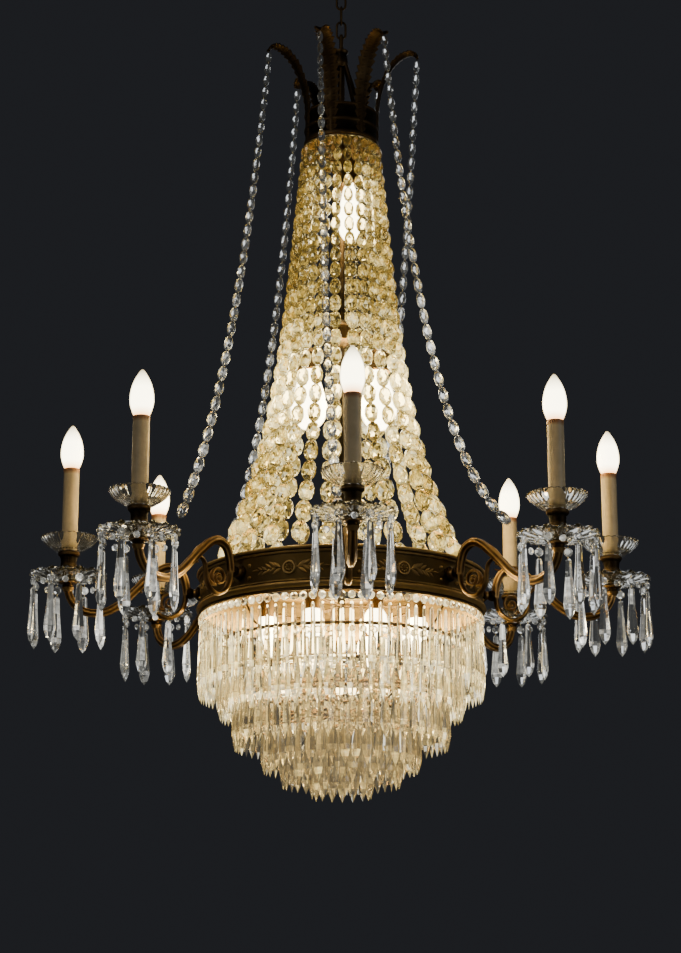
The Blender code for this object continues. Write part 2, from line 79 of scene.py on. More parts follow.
# Basket: prisms on each hoop
PRISM_COUNTS = (96, 70, 60, 44, 33, 17)
PRISM_WIDTHS = (0.0128, 0.0166, 0.0168, 0.0170, 0.0172, 0.0175)
# How much painted glint each row of prisms gets
PRISM_PAINTED_GLINT = (0.74, 0.64, 0.52, 0.52, 0.56, 0.60)
OCTAGON = 0.014
# Basket lamps
BASKET_LAMPS = 8
BASKET_LAMP_CIRCLE = 0.120
BASKET_LAMP_Z = -1.128
PAN_DROPS = 8
BASKET_LAMPHOLDER_Z = BASKET_LAMP_Z + 0.048
# Crown and stem
FROND_DIRECTIONS = (-108, -59, -8, 58, 124, 198)
FROND_TIP = (0.1225, -0.1885)
CROWN_TOP_Z = -0.2790
STEM_HUB_Z = -0.649
# Lamp glass: colours it dims to, and height ranges that no lamp reaches, where one keeps a single colour
LAMP_TIP_COLOUR = (0.055, 0.040, 0.016, 1)
LAMP_EDGE_COLOUR = (0.085, 0.050, 0.016, 1)
BELOW_EVERYTHING = (-2.0, -1.9)
ABOVE_EVERYTHING = (5.0, 6.0)


# Places read from the imported solids, and the arms' seat height and reach, which are given


def middle(node):
    low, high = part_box(node)
    return (low + high) / 2


def arm_angle(number):
    return math.radians(-90) + (number - 1) * TAU / 8


CANDLE_AXES = {number: middle(f"candle_{number}") for number in ARMS}
RING_TOP_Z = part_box("main_ring")[1].z
RING_BOTTOM_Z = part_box("main_ring")[0].z
TENT_LOW, TENT_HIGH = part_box("bead_tent")
CROWN_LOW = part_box("crown")[0]
DISH_LOW, DISH_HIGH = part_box("candle_dish_1")
PAN_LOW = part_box("drip_pan_1")[0]
SLEEVE_TOP_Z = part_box("candle_1")[1].z
SEAT_Z = -1.0455
ARM_REACH = 0.4125


# Shapes: each is (points, faces)


def lathe(profile, steps, looped=False, wave=None):
    """Turned about Z from (radius, height) points, down the outer side; wave(r, z, angle) moves a point."""
    points, faces, rings = [], [], []
    for radius, height in profile:
        if radius < 1e-6:
            rings.append([len(points)] * steps)
            points.append((0.0, 0.0, height))
            continue
        rings.append(list(range(len(points), len(points) + steps)))
        for step in range(steps):
            angle = TAU * step / steps
            r, z = wave(radius, height, angle) if wave else (radius, height)
            points.append((r * math.cos(angle), r * math.sin(angle), z))
    pairs = list(zip(rings, rings[1:]))
    if looped:
        pairs.append((rings[-1], rings[0]))
    for upper, lower in pairs:
        for step in range(steps):
            after = (step + 1) % steps
            corners = (upper[step], lower[step], lower[after], upper[after])
            faces.append(tuple(dict.fromkeys(corners)))
    return np.array(points), faces


def gem(rings, sides, depth=1.0, twist=True):
    """A cut stone along Z: flat ends, and each ring turned half a side from the one above when twist is set."""
    points, faces = [], []
    for row, (radius, height) in enumerate(rings):
        for side in range(sides):
            angle = TAU * (side + (0.5 * (row % 2) if twist else 0.5)) / sides
            points.append((radius * math.cos(angle), radius * math.sin(angle) * depth, height))
    for row in range(len(rings) - 1):
        upper, lower = row * sides, (row + 1) * sides
        for side in range(sides):
            after = (side + 1) % sides
            if not twist:
                faces.append((upper + side, lower + side, lower + after, upper + after))
            elif row % 2 == 0:
                faces.append((upper + side, lower + side, upper + after))
                faces.append((upper + after, lower + side, lower + after))
            else:
                faces.append((upper + side, lower + side, lower + after))
                faces.append((upper + side, lower + after, upper + after))
    faces.append(tuple(range(sides)))
    last = (len(rings) - 1) * sides
    faces.append(tuple(last + side for side in reversed(range(sides))))
    return np.array(points), faces


def placed(shape, matrix):
    points, faces = shape
    turn = np.array(matrix.to_3x3())
    return points @ turn.T + np.array(matrix.translation), faces


def joined(shapes):
    points, faces, start = [], [], 0
    for shape_points, shape_faces in shapes:
        points.append(shape_points)
        faces.extend(tuple(index + start for index in face) for face in shape_faces)
        start += len(shape_points)
    return np.concatenate(points), faces


def at(x=0.0, y=0.0, z=0.0, turn=0.0):
    return Matrix.Translation((x, y, z)) @ Matrix.Rotation(turn, 4, "Z")


def sweep(path, section, looped=False, sizes=None, side=None):
    """Section points (across, up) carried along the path; side fixes the across direction of a flat path."""
    path = [Vector(point) for point in path]
    count = len(path)
    points, faces = [], []
    across = side
    for index, point in enumerate(path):
        before = path[(index - 1) % count] if looped or index > 0 else path[0]
        after = path[(index + 1) % count] if looped or index < count - 1 else path[-1]
        along = (after - before).normalized()
        if side is None:
            start = across or (Vector((0, 0, 1)) if abs(along.z) < 0.9 else Vector((1, 0, 0)))
            across = (start - along * start.dot(along)).normalized()
        up = along.cross(across).normalized()
        size = sizes[index] if sizes else 1.0
        points.extend(tuple(point + across * (u * size) + up * (v * size)) for u, v in section)
    rim = len(section)
    for index in range(count if looped else count - 1):
        start, ahead = index * rim, ((index + 1) % count) * rim
        for corner in range(rim):
            after = (corner + 1) % rim
            faces.append((start + corner, start + after, ahead + after, ahead + corner))
    if not looped:
        faces.append(tuple(reversed(range(rim))))
        faces.append(tuple((count - 1) * rim + corner for corner in range(rim)))
    return np.array(points), faces


def circle(radius, sides, reeds=0, relief=0.0):
    """A bar's section; reeds raise ridges along it."""
    section = []
    for side in range(sides):
        angle = TAU * side / sides
        r = radius * (1 + relief * math.cos(reeds * angle))
        section.append((r * math.cos(angle), r * math.sin(angle)))
    return section


def smooth(points, parts=6):
    """A Catmull-Rom curve through the points."""
    route = []
    ends = [points[0], *points, points[-1]]
    for before, start, end, after in zip(ends, ends[1:], ends[2:], ends[3:]):
        for part in range(parts):
            t = part / parts
            place = []
            for a, b, c, d in zip(before, start, end, after):
                square, cube = 2 * a - 5 * b + 4 * c - d, 3 * b - a - 3 * c + d
                place.append(0.5 * (2 * b + (c - a) * t + square * t**2 + cube * t**3))
            route.append(tuple(place))
    route.append(tuple(points[-1]))
    return route


def in_plane(points):
    return [(radius, 0.0, height) for radius, height in points]


def level_ring(radius, height, steps):
    angles = [TAU * step / steps for step in range(steps)]
    return [(radius * math.cos(angle), radius * math.sin(angle), height) for angle in angles]


def spiral(centre, radius, start, turns, steps, end):
    """Points of a flat spiral that tightens from radius to end times radius."""
    route = []
    for step in range(steps + 1):
        t = step / steps
        r = radius * (1 - (1 - end) * t)
        angle = start + TAU * turns * t
        route.append((centre[0] + r * math.cos(angle), centre[1] + r * math.sin(angle)))
    return route


def along_axis(place, direction, roll=0.0):
    """A matrix that puts a stone's own Z along a direction."""
    turn = Vector((0, 0, 1)).rotation_difference(Vector(direction)).to_matrix().to_4x4()
    return Matrix.Translation(place) @ turn @ Matrix.Rotation(roll, 4, "Z")


def leaf(length, width, height):
    """A low leaf on the XY plane, from its stalk at the origin along +X, with a raised midrib."""
    stations = ((0.0, 0.10), (0.18, 0.55), (0.42, 1.0), (0.68, 0.80), (0.88, 0.40), (1.0, 0.06))
    points, faces = [], []
    for share, wide in stations:
        x, half = length * share, width / 2 * wide
        rise = height * (0.35 + 0.65 * wide)
        for across, lift in ((-1.0, 0.0), (-0.55, 0.75), (0.0, 1.0), (0.55, 0.75), (1.0, 0.0)):
            points.append((x, half * across, rise * lift))
    for station in range(len(stations) - 1):
        start, ahead = station * 5, station * 5 + 5
        for corner in range(5):
            after = (corner + 1) % 5
            faces.append((start + corner, ahead + corner, ahead + after, start + after))
    faces.append((0, 1, 2, 3, 4))
    last = (len(stations) - 1) * 5
    faces.append((last + 4, last + 3, last + 2, last + 1, last))
    return np.array(points, float), faces


# Lamps: place, and how strongly each lights the stones round it, both as a real light and as painted glint on
# their faces

LAMPS = [
    (middle("upper_lamp"), 0.55),
    (middle("inner_lamp_left"), 1.0),
    (middle("inner_lamp_right"), 1.0),
]
BASKET_LAMP_PLACES = [
    Vector(
        (
            BASKET_LAMP_CIRCLE * math.cos(TAU * (number + 0.5) / BASKET_LAMPS),
            BASKET_LAMP_CIRCLE * math.sin(TAU * (number + 0.5) / BASKET_LAMPS),
            BASKET_LAMP_Z,
        )
    )
    for number in range(BASKET_LAMPS)
]
LAMPS += [(place, 0.75) for place in BASKET_LAMP_PLACES]
LAMPS += [(middle(f"candle_bulb_{number}"), 0.12) for number in ARMS]


def paint_facet_glints(mesh, share, weights):
    """Stores on each face a painted glint: how much lamplight its stone would throw out there, painted later as
    emission.

    weights has one number for each face of a stone, and some stones are duller than others.
    """
    count = len(mesh.polygons)
    centres = np.empty(count * 3)
    mesh.polygons.foreach_get("center", centres)
    centres = centres.reshape(-1, 3)
    light = np.zeros(count)
    # painted light: faces near the lamps get a brighter glint
    for place, power in LAMPS:
        gap = ((centres - np.array(place)) ** 2).sum(axis=1)
        light += power / (gap + 0.004)
    # painted glints scattered at random over the faces
    sparkle = RNG.uniform(0.0, 1.0, count) ** 2.2
    order = np.arange(count)
    stone = RNG.uniform(0.55, 1.25, count // len(weights) + 1)[order // len(weights)]
    stone = stone * np.array(weights)[order % len(weights)]
    painted_glint = np.clip((0.04 + (light / 150.0) ** 2) * stone * (0.14 + 1.55 * sparkle) * share, 0.0, 1.0)
    layer = mesh.attributes.new("painted_glint", "FLOAT", "FACE")
    layer.data.foreach_set("value", painted_glint.astype(np.float32))


def piece(name, shape, material, body=BODY, stands_for=(), smooth_angle=None, painted_glint_share=None, weights=(1.0,)):
    """One named object that rides on a body. Its last two arguments give its stones their share of painted
    lamplight glint.
    """
    points, faces = shape
    mesh = bpy.data.meshes.new(name)
    mesh.from_pydata([tuple(point) for point in points], [], faces)
    mesh.update()
    mesh.materials.append(material)
    if painted_glint_share is not None:
        paint_facet_glints(mesh, painted_glint_share, weights)
    item = bpy.data.objects.new(name, mesh)
    bpy.context.scene.collection.objects.link(item)
    if smooth_angle:
        mesh.shade_smooth()
        mesh.set_sharp_from_angle(angle=math.radians(smooth_angle))
    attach(item, body)
    if stands_for:
        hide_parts(*stands_for)
    return item


# Materials


def group(name, inputs, outputs):
    """An empty shader node group and its input and output nodes."""
    tree = bpy.data.node_groups.new(name, "ShaderNodeTree")
    for label, kind, value in inputs:
        socket = tree.interface.new_socket(label, in_out="INPUT", socket_type=kind)
        socket.default_value = value
    for label, kind in outputs:
        tree.interface.new_socket(label, in_out="OUTPUT", socket_type=kind)
    return tree, tree.nodes.new("NodeGroupInput"), tree.nodes.new("NodeGroupOutput")


def mix_colour(tree, factor, first, second, blend="MIX"):
    """A colour mix; each argument is an output socket or a plain value."""
    node = tree.nodes.new("ShaderNodeMix")
    node.data_type = "RGBA"
    node.blend_type = blend
    for socket, value in zip((node.inputs[0], node.inputs[6], node.inputs[7]), (factor, first, second)):
        if isinstance(value, bpy.types.NodeSocket):
            tree.links.new(value, socket)
        else:
            socket.default_value = value
    return node.outputs[2]


def to_range(tree, value, low, high, new_low=0.0, new_high=1.0):
    node = tree.nodes.new("ShaderNodeMapRange")
    tree.links.new(value, node.inputs["Value"])
    node.inputs["From Min"].default_value = low
    node.inputs["From Max"].default_value = high
    node.inputs["To Min"].default_value = new_low
    node.inputs["To Max"].default_value = new_high
    return node.outputs["Result"]


def noise(tree, vector, scale, detail=4.0, roughness=0.6):
    node = tree.nodes.new("ShaderNodeTexNoise")
    tree.links.new(vector, node.inputs["Vector"])
    node.inputs["Scale"].default_value = scale
    node.inputs["Detail"].default_value = detail
    node.inputs["Roughness"].default_value = roughness
    return node.outputs["Fac"]


def aged_metal_group():
    """Cast metal: painted shade in the hollows, rubbed bright on the edges, with patches of patina; the patina and
    the painted shade share one dark colour.
    """
    tree, given, result = group(
        "aged_metal",
        [
            ("Hollow", "NodeSocketColor", (0.02, 0.012, 0.006, 1)),
            ("Base", "NodeSocketColor", (0.1, 0.06, 0.03, 1)),
            ("Rubbed", "NodeSocketColor", (0.4, 0.25, 0.1, 1)),
            ("Smooth", "NodeSocketFloat", 0.28),
            ("Rough", "NodeSocketFloat", 0.6),
        ],
        [("Colour", "NodeSocketColor"), ("Roughness", "NodeSocketFloat"), ("Height", "NodeSocketFloat")],
    )
    where = tree.nodes.new("ShaderNodeTexCoord").outputs["Object"]
    edge = tree.nodes.new("ShaderNodeNewGeometry").outputs["Pointiness"]
    patina = noise(tree, where, 55.0)
    fine = noise(tree, where, 420.0, 3.0)
    base = mix_colour(tree, to_range(tree, patina, 0.35, 0.68), given.outputs["Base"], given.outputs["Hollow"])
    rubbed = mix_colour(tree, to_range(tree, edge, 0.505, 0.545), base, given.outputs["Rubbed"])
    # painted shade: where pointiness is low, in the hollows, the colour goes to the dark colour as if shaded there
    colour = mix_colour(tree, to_range(tree, edge, 0.495, 0.455), rubbed, given.outputs["Hollow"])
    rough = tree.nodes.new("ShaderNodeMix")
    tree.links.new(to_range(tree, patina, 0.3, 0.7), rough.inputs[0])
    tree.links.new(given.outputs["Smooth"], rough.inputs[2])
    tree.links.new(given.outputs["Rough"], rough.inputs[3])
    tree.links.new(colour, result.inputs["Colour"])
    tree.links.new(rough.outputs[0], result.inputs["Roughness"])
    tree.links.new(fine, result.inputs["Height"])
    return tree


def painted_glint_group(name, dim, low, middle_tone, high, brightest):
    """Painted lamplight glints for cut stones: an emission colour in five tones as the painted glint grows."""
    tree, given, result = group(
        name,
        [("Painted_glint", "NodeSocketFloat", 0.0)],
        [("Colour", "NodeSocketColor")],
    )
    where = tree.nodes.new("ShaderNodeTexCoord").outputs["Object"]
    flicker = to_range(tree, noise(tree, where, 160.0, 2.0), 0.3, 0.7, 0.72, 1.2)
    product = tree.nodes.new("ShaderNodeMath")
    product.operation = "MULTIPLY"
    tree.links.new(given.outputs["Painted_glint"], product.inputs[0])
    tree.links.new(flicker, product.inputs[1])
    ramp = tree.nodes.new("ShaderNodeValToRGB")
    tree.links.new(product.outputs[0], ramp.inputs["Fac"])
    stops = ramp.color_ramp.elements
    stops[0].position = 0.03
    stops[0].color = (*dim, 1)
    stops[1].position = 1.0
    stops[1].color = (*brightest, 1)
    for place, colour in ((0.22, low), (0.48, middle_tone), (0.75, high)):
        stops.new(place).color = (*colour, 1)
    tree.links.new(ramp.outputs["Color"], result.inputs["Colour"])
    return tree


def material(name, metallic=0.0, roughness=0.5):
    made = bpy.data.materials.new(name)
    made.use_nodes = True
    shader = made.node_tree.nodes["Principled BSDF"]
    shader.inputs["Metallic"].default_value = metallic
    shader.inputs["Roughness"].default_value = roughness
    return made, made.node_tree, shader


def placed_group(tree, source, **values):
    node = tree.nodes.new("ShaderNodeGroup")
    node.node_tree = source
    for label, value in values.items():
        node.inputs[label].default_value = value
    return node


def bump(tree, height, shader, strength, distance):
    node = tree.nodes.new("ShaderNodeBump")
    node.inputs["Strength"].default_value = strength
    node.inputs["Distance"].default_value = distance
    tree.links.new(height, node.inputs["Height"])
    tree.links.new(node.outputs["Normal"], shader.inputs["Normal"])


# The first colour is both the patina's colour and the painted shade in the hollows.
def metal(name, source, patina_and_shade_colour, base, rubbed, smoothest, roughest, strength=0.25):
    made, tree, shader = material(name, metallic=1.0)
    node = placed_group(
        tree, source, Hollow=(*patina_and_shade_colour, 1), Base=(*base, 1), Rubbed=(*rubbed, 1), Smooth=smoothest, Rough=roughest
    )
    tree.links.new(node.outputs["Colour"], shader.inputs["Base Color"])
    tree.links.new(node.outputs["Roughness"], shader.inputs["Roughness"])
    bump(tree, node.outputs["Height"], shader, strength, 0.0004)
    return made


def crystal(name, source, tint, strength, see_through=1.0):
    """Cut glass with painted glints: its emission stands in for lamplight thrown back by its facets, and fades to
    black at grazing facets as painted dark edges.
    """
    made, tree, shader = material(name, roughness=0.03)
    shader.inputs["Transmission Weight"].default_value = see_through
    shader.inputs["IOR"].default_value = 1.52
    shader.inputs["Emission Strength"].default_value = strength
    where = tree.nodes.new("ShaderNodeTexCoord").outputs["Object"]
    cloud = to_range(tree, noise(tree, where, 35.0, 2.0), 0.3, 0.7)
    paler = tuple(min(1.0, value * 1.06) for value in tint)
    tree.links.new(mix_colour(tree, cloud, (*tint, 1), (*paler, 1)), shader.inputs["Base Color"])
    # painted glint: read from the face attribute that holds it
    painted_glint = tree.nodes.new("ShaderNodeAttribute")
    painted_glint.attribute_name = "painted_glint"
    node = placed_group(tree, source)
    tree.links.new(painted_glint.outputs["Fac"], node.inputs["Painted_glint"])
    # painted shade: the glint fades to black where a facet turns away, which paints a dark edge round each stone
    weight = tree.nodes.new("ShaderNodeLayerWeight")
    weight.inputs["Blend"].default_value = 0.5
    facing = to_range(tree, weight.outputs["Facing"], 0.20, 0.80, 1.0, 0.04)
    painted_glint_colour = mix_colour(tree, facing, (0, 0, 0, 1), node.outputs["Colour"])
    tree.links.new(painted_glint_colour, shader.inputs["Emission Color"])
    return made


def lamp_glass(name, strength, foot, tip, foot_colour, body_colour):
    """Lit glass, redder at its foot and dimmer at its tip and edges; foot and tip are heights of the changes."""
    made, tree, shader = material(name, roughness=0.25)
    split = tree.nodes.new("ShaderNodeSeparateXYZ")
    tree.links.new(tree.nodes.new("ShaderNodeTexCoord").outputs["Object"], split.inputs[0])
    share = to_range(tree, split.outputs["Z"], *foot)
    body = mix_colour(tree, share, (*foot_colour, 1), (*body_colour, 1))
    body = mix_colour(tree, to_range(tree, split.outputs["Z"], *tip), body, LAMP_TIP_COLOUR)
    weight = tree.nodes.new("ShaderNodeLayerWeight")
    weight.inputs["Blend"].default_value = 0.5
    edge = to_range(tree, weight.outputs["Facing"], 0.55, 1.0)
    tree.links.new(mix_colour(tree, edge, body, LAMP_EDGE_COLOUR), shader.inputs["Emission Color"])
    shader.inputs["Base Color"].default_value = (0.9, 0.8, 0.6, 1)
    shader.inputs["Emission Strength"].default_value = strength
    return made


def sleeve_material():
    made, tree, shader = material("ivory_sleeve", roughness=0.5)
    where = tree.nodes.new("ShaderNodeTexCoord").outputs["Object"]
    split = tree.nodes.new("ShaderNodeSeparateXYZ")
    tree.links.new(where, split.inputs[0])
    stain = to_range(tree, noise(tree, where, 60.0), 0.35, 0.75)
    ivory = mix_colour(tree, stain, (0.66, 0.51, 0.29, 1), (0.52, 0.40, 0.22, 1))
    # painted light: an orange-brown band below the sleeve's top stands in for the bulb's glow falling on it
    painted_bulb_glow = to_range(tree, split.outputs["Z"], SLEEVE_TOP_Z - 0.0095, SLEEVE_TOP_Z - 0.0045)
    tree.links.new(mix_colour(tree, painted_bulb_glow, ivory, (0.38, 0.165, 0.055, 1)), shader.inputs["Base Color"])
    bump(tree, noise(tree, where, 260.0, 2.0), shader, 0.12, 0.0003)
    return made


AGED = aged_metal_group()
# Tones of painted glint, which stand in for lamplight in the stones
TENT_PAINTED_GLINT = painted_glint_group(
    "tent_painted_glint",
    (0.004, 0.003, 0.001),
    (0.050, 0.035, 0.007),
    (0.34, 0.235, 0.045),
    (0.86, 0.67, 0.22),
    (1.0, 0.91, 0.56),
)
BASKET_PAINTED_GLINT = painted_glint_group(
    "basket_painted_glint",
    (0.010, 0.010, 0.011),
    (0.065, 0.056, 0.038),
    (0.33, 0.23, 0.075),
    (0.85, 0.68, 0.26),
    (1.0, 0.93, 0.66),
)
COOL_PAINTED_GLINT = painted_glint_group(
    "cool_painted_glint",
    (0.004, 0.004, 0.003),
    (0.032, 0.032, 0.029),
    (0.18, 0.178, 0.160),
    (0.62, 0.61, 0.55),
    (1.0, 0.97, 0.88),
)
DARK_BRONZE = metal(
    "dark_bronze", AGED, (0.012, 0.009, 0.005), (0.032, 0.021, 0.010), (0.10, 0.062, 0.026), 0.45, 0.70
)
GILT_BRONZE = metal(
    "gilt_bronze", AGED, (0.022, 0.012, 0.005), (0.120, 0.062, 0.020), (0.34, 0.205, 0.075), 0.34, 0.58
)
RING_BRONZE = metal(
    "ring_bronze", AGED, (0.090, 0.061, 0.023), (0.230, 0.155, 0.057), (0.36, 0.245, 0.095), 0.52, 0.74, 0.35
)
PIN_METAL = metal("pin_wire", AGED, (0.05, 0.04, 0.02), (0.25, 0.19, 0.10), (0.6, 0.5, 0.3), 0.25, 0.4)
TENT_CRYSTAL = crystal("tent_crystal", TENT_PAINTED_GLINT, (0.80, 0.695, 0.41), 1.0)
BASKET_CRYSTAL = crystal("basket_crystal", BASKET_PAINTED_GLINT, (0.74, 0.68, 0.53), 0.95)
CLEAR_CRYSTAL = crystal("clear_crystal", COOL_PAINTED_GLINT, (0.96, 0.96, 0.95), 1.0)
PRESSED_GLASS = crystal("pressed_glass", TENT_PAINTED_GLINT, (0.95, 0.93, 0.88), 0.5)
CANDLE_GLASS = lamp_glass(
    "candle_lamp_glass",
    9.0,
    (SLEEVE_TOP_Z - 0.001, SLEEVE_TOP_Z + 0.012),
    (SLEEVE_TOP_Z + 0.040, SLEEVE_TOP_Z + 0.070),
    (0.55, 0.24, 0.06),
    (1.0, 0.90, 0.62),
)
INNER_GLASS = lamp_glass(
    "inner_lamp_glass", 11.0, BELOW_EVERYTHING, ABOVE_EVERYTHING, (1.0, 0.8, 0.5), (1.0, 0.90, 0.60)
)
IVORY = sleeve_material()


# Stones


def bead(width, length):
    rings = ((0.18, 0.49), (0.37, 0.36), (0.49, 0.12), (0.49, -0.12), (0.37, -0.36), (0.18, -0.49))
    return gem([(width * r, length * h) for r, h in rings], 8)


def octagon_stone(width):
    """An octagon stone, flat along X, with a table on each side."""
    rings = ((0.30, 0.24), (0.46, 0.10), (0.46, -0.10), (0.30, -0.24))
    points, faces = gem([(width * r, width * h) for r, h in rings], 8, twist=False)
    return points[:, [2, 0, 1]], faces


def spear(length, width, depth=0.62, waist=0.70):
    """A hanging prism with its top at z = 0: it widens slowly, then ends in a point."""
    rings = (
        (0.14, 0.0),
        (0.24, -0.03),
        (0.30, -0.30),
        (0.50, -waist),
        (0.47, -waist - 0.08),
        (0.32, -waist - 0.18),
        (0.012, -1.0),
    )
    return gem([(width * r, length * h) for r, h in rings], 6, depth, twist=False)


def bead_run(points_at, total, first, last):
    """Beads and pins along a strand. points_at(s) gives the place and direction at the length s along it."""
    beads, pins = [], []
    s = 0.0
    while True:
        share = s / total
        width = first[0] + (last[0] - first[0]) * share
        length = first[1] + (last[1] - first[1]) * share
        if s + length > total:
            break
        place, direction = points_at(s + length / 2)
        beads.append(placed(bead(width, length), along_axis(place, direction, RNG.uniform(0, TAU))))
        place, direction = points_at(s + length + BEAD_GAP / 2)
        pins.append(placed(PIN, along_axis(place, direction)))
        s += length + BEAD_GAP
    return beads, pins


PIN = gem([(0.0007, 0.0024), (0.0007, -0.0024)], 5, twist=False)


# Share of painted lamplight glint on each face, band by band down a stone and then its two ends
BEAD_WEIGHTS = [0.35] * 16 + [1.0] * 16 + [1.3] * 16 + [1.0] * 16 + [0.35] * 16 + [0.2] * 2
PRISM_WEIGHTS = [1.2] * 26 + [0.75] * 12 + [0.65] * 6 + [1.15] * 6 + [1.6] * 12 + [1.0] * 2


# Tent


def tent_radius(share):
    flare = TENT_BOTTOM_RADIUS - TENT_TOP_RADIUS - TENT_STRAIGHT_PART
    return TENT_TOP_RADIUS + TENT_STRAIGHT_PART * share + flare * share**TENT_FLARE_POWER


def polyline_walk(points):
    """Total length, and a function that gives the place and direction at a length along the points."""
    points = [Vector(point) for point in points]
    lengths = [0.0]
    for start, end in zip(points, points[1:]):
        lengths.append(lengths[-1] + (end - start).length)

    def walk(s):
        index = min(max(int(np.searchsorted(lengths, s)) - 1, 0), len(points) - 2)
        direction = points[index + 1] - points[index]
        share = (s - lengths[index]) / direction.length
        return points[index] + direction * share, direction.normalized()

    return lengths[-1], walk


def build_tent():
    top_z = TENT_HIGH.z - 0.0018
    bottom_z = TENT_LOW.z + 0.0018
    beads, pins = [], []
    for number in range(TENT_STRANDS):
        turn = TAU * (number + 0.5) / TENT_STRANDS
        route = []
        for step in range(41):
            share = step / 40
            sway = 0.0025 * math.sin(share * 5.0 + number * 1.7) * math.sin(math.pi * share)
            radius = tent_radius(share)
            angle = turn + sway / radius
            route.append((radius * math.cos(angle), radius * math.sin(angle), top_z + (bottom_z - top_z) * share))
        total, walk = polyline_walk(route)
        more_beads, more_pins = bead_run(walk, total, TENT_BEAD_TOP, TENT_BEAD_BOTTOM)
        beads += more_beads
        pins += more_pins
    piece(
        "tent_beads", joined(beads), TENT_CRYSTAL, stands_for=("bead_tent",),
        painted_glint_share=0.85, weights=BEAD_WEIGHTS,
    )
    hoops = [
        sweep(level_ring(r, z, 72), circle(0.0016, 8), True)
        for r, z in ((TENT_TOP_RADIUS, top_z), (TENT_BOTTOM_RADIUS, bottom_z))
    ]
    piece("tent_hoops_and_pins", joined(hoops + pins), PIN_METAL, smooth_angle=50)


# Basket


def build_basket():
    hoops = []
    for number, count in enumerate(PRISM_COUNTS, start=1):
        low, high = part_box(f"prism_tier_{number}")
        radius = (high.x - low.x) / 2 - 0.0045
        top_z = high.z
        stones = []
        hang_z = top_z - 0.005
        prism_top = hang_z - OCTAGON * 0.95 - 0.003
        length = prism_top - low.z
        for item in range(count):
            angle = TAU * (item + 0.5 * (number % 2)) / count + RNG.uniform(-0.15, 0.15) / count
            lean = RNG.uniform(-0.012, 0.012)
            home = at(turn=angle) @ at(radius, 0, 0)
            stones.append(placed(octagon_stone(OCTAGON * 0.92), home @ at(0, 0, hang_z - OCTAGON * 0.46)))
            drop = spear(length - RNG.uniform(0, 0.0015), PRISM_WIDTHS[number - 1])
            twist = Matrix.Rotation(math.pi / 2 + RNG.uniform(-0.25, 0.25), 4, "Z")
            stones.append(placed(drop, home @ at(0, 0, prism_top) @ Matrix.Rotation(lean, 4, "X") @ twist))
        piece(
            f"prism_row_{number}", joined(stones), BASKET_CRYSTAL,
            stands_for=(f"prism_tier_{number}",), painted_glint_share=PRISM_PAINTED_GLINT[number - 1], weights=PRISM_WEIGHTS,
        )
        hoops.append(sweep(level_ring(radius, top_z - 0.002, 96), circle(0.0026, 8), True))
    piece("basket_hoops", joined(hoops), DARK_BRONZE, smooth_angle=60)
    bulb = lathe(
        [
            (0, 0.026), (0.010, 0.0235), (0.0165, 0.012), (0.0175, 0.0),
            (0.0150, -0.010), (0.008, -0.022), (0, -0.026),
        ],
        20,
    )
    lamps = [placed(bulb, Matrix.Translation(place)) for place in BASKET_LAMP_PLACES]
    lit = piece("basket_lamps", joined(lamps), INNER_GLASS, smooth_angle=60)
    lit.visible_shadow = False
    cap = lathe([(0, 0.048), (0.0105, 0.046), (0.0120, 0.040), (0.0120, 0.018), (0, 0.018)], 20)
    caps = [placed(cap, Matrix.Translation(place)) for place in BASKET_LAMP_PLACES]
    ring = sweep(level_ring(BASKET_LAMP_CIRCLE, BASKET_LAMPHOLDER_Z, 60), circle(0.003, 8), True)
    spoke_route = [(0.004, 0, BASKET_LAMPHOLDER_Z), (BASKET_LAMP_CIRCLE, 0, BASKET_LAMPHOLDER_Z)]
    spoke = sweep(spoke_route, circle(0.0028, 8))
    spokes = [placed(spoke, at(turn=TAU * number / 3)) for number in range(3)]
    piece("basket_lampholders", joined([*caps, ring, *spokes]), DARK_BRONZE, smooth_angle=40)


# Ring


def build_ring():
    top, low = RING_TOP_Z, RING_BOTTOM_Z
    outline = [
        (0.2165, top),
        (0.2186, top - 0.0010),
        (0.2190, top - 0.0030),
        (0.2178, top - 0.0052),
        (0.2152, top - 0.0060),
        (0.2160, top - 0.0078),
        (0.2152, top - 0.0098),
        (RING_FRIEZE, top - 0.0104),
        (RING_FRIEZE, low + 0.0132),
        (0.2150, low + 0.0124),
        (0.2160, low + 0.0108),
        (0.2150, low + 0.0094),
        (0.2182, low + 0.0082),
        (0.2190, low + 0.0055),
        (0.2176, low + 0.0020),
        (0.2150, low),
        (RING_WALL_INSIDE, low),
        (RING_WALL_INSIDE, top - 0.0035),
        (RING_FLANGE_INSIDE, top - 0.0035),
        (RING_FLANGE_INSIDE, top),
    ]
    casting = lathe(outline, 144, looped=True)
    piece("ring_casting", casting, RING_BRONZE, stands_for=("main_ring",), smooth_angle=35)
    piece("ring_ornament", joined(ring_ornament()), RING_BRONZE, smooth_angle=50)


def on_frieze(angle, offset, height, tilt):
    """A matrix that lays an ornament's XY plane on the frieze, tilted about its own normal."""
    turn = angle + offset / RING_FRIEZE
    outward = Matrix(((0, 0, 1, 0), (1, 0, 0, 0), (0, 1, 0, 0), (0, 0, 0, 1)))
    spot = Matrix.Translation((RING_FRIEZE - 0.0004, 0, height))
    return at(turn=turn) @ spot @ outward @ Matrix.Rotation(tilt, 4, "Z")


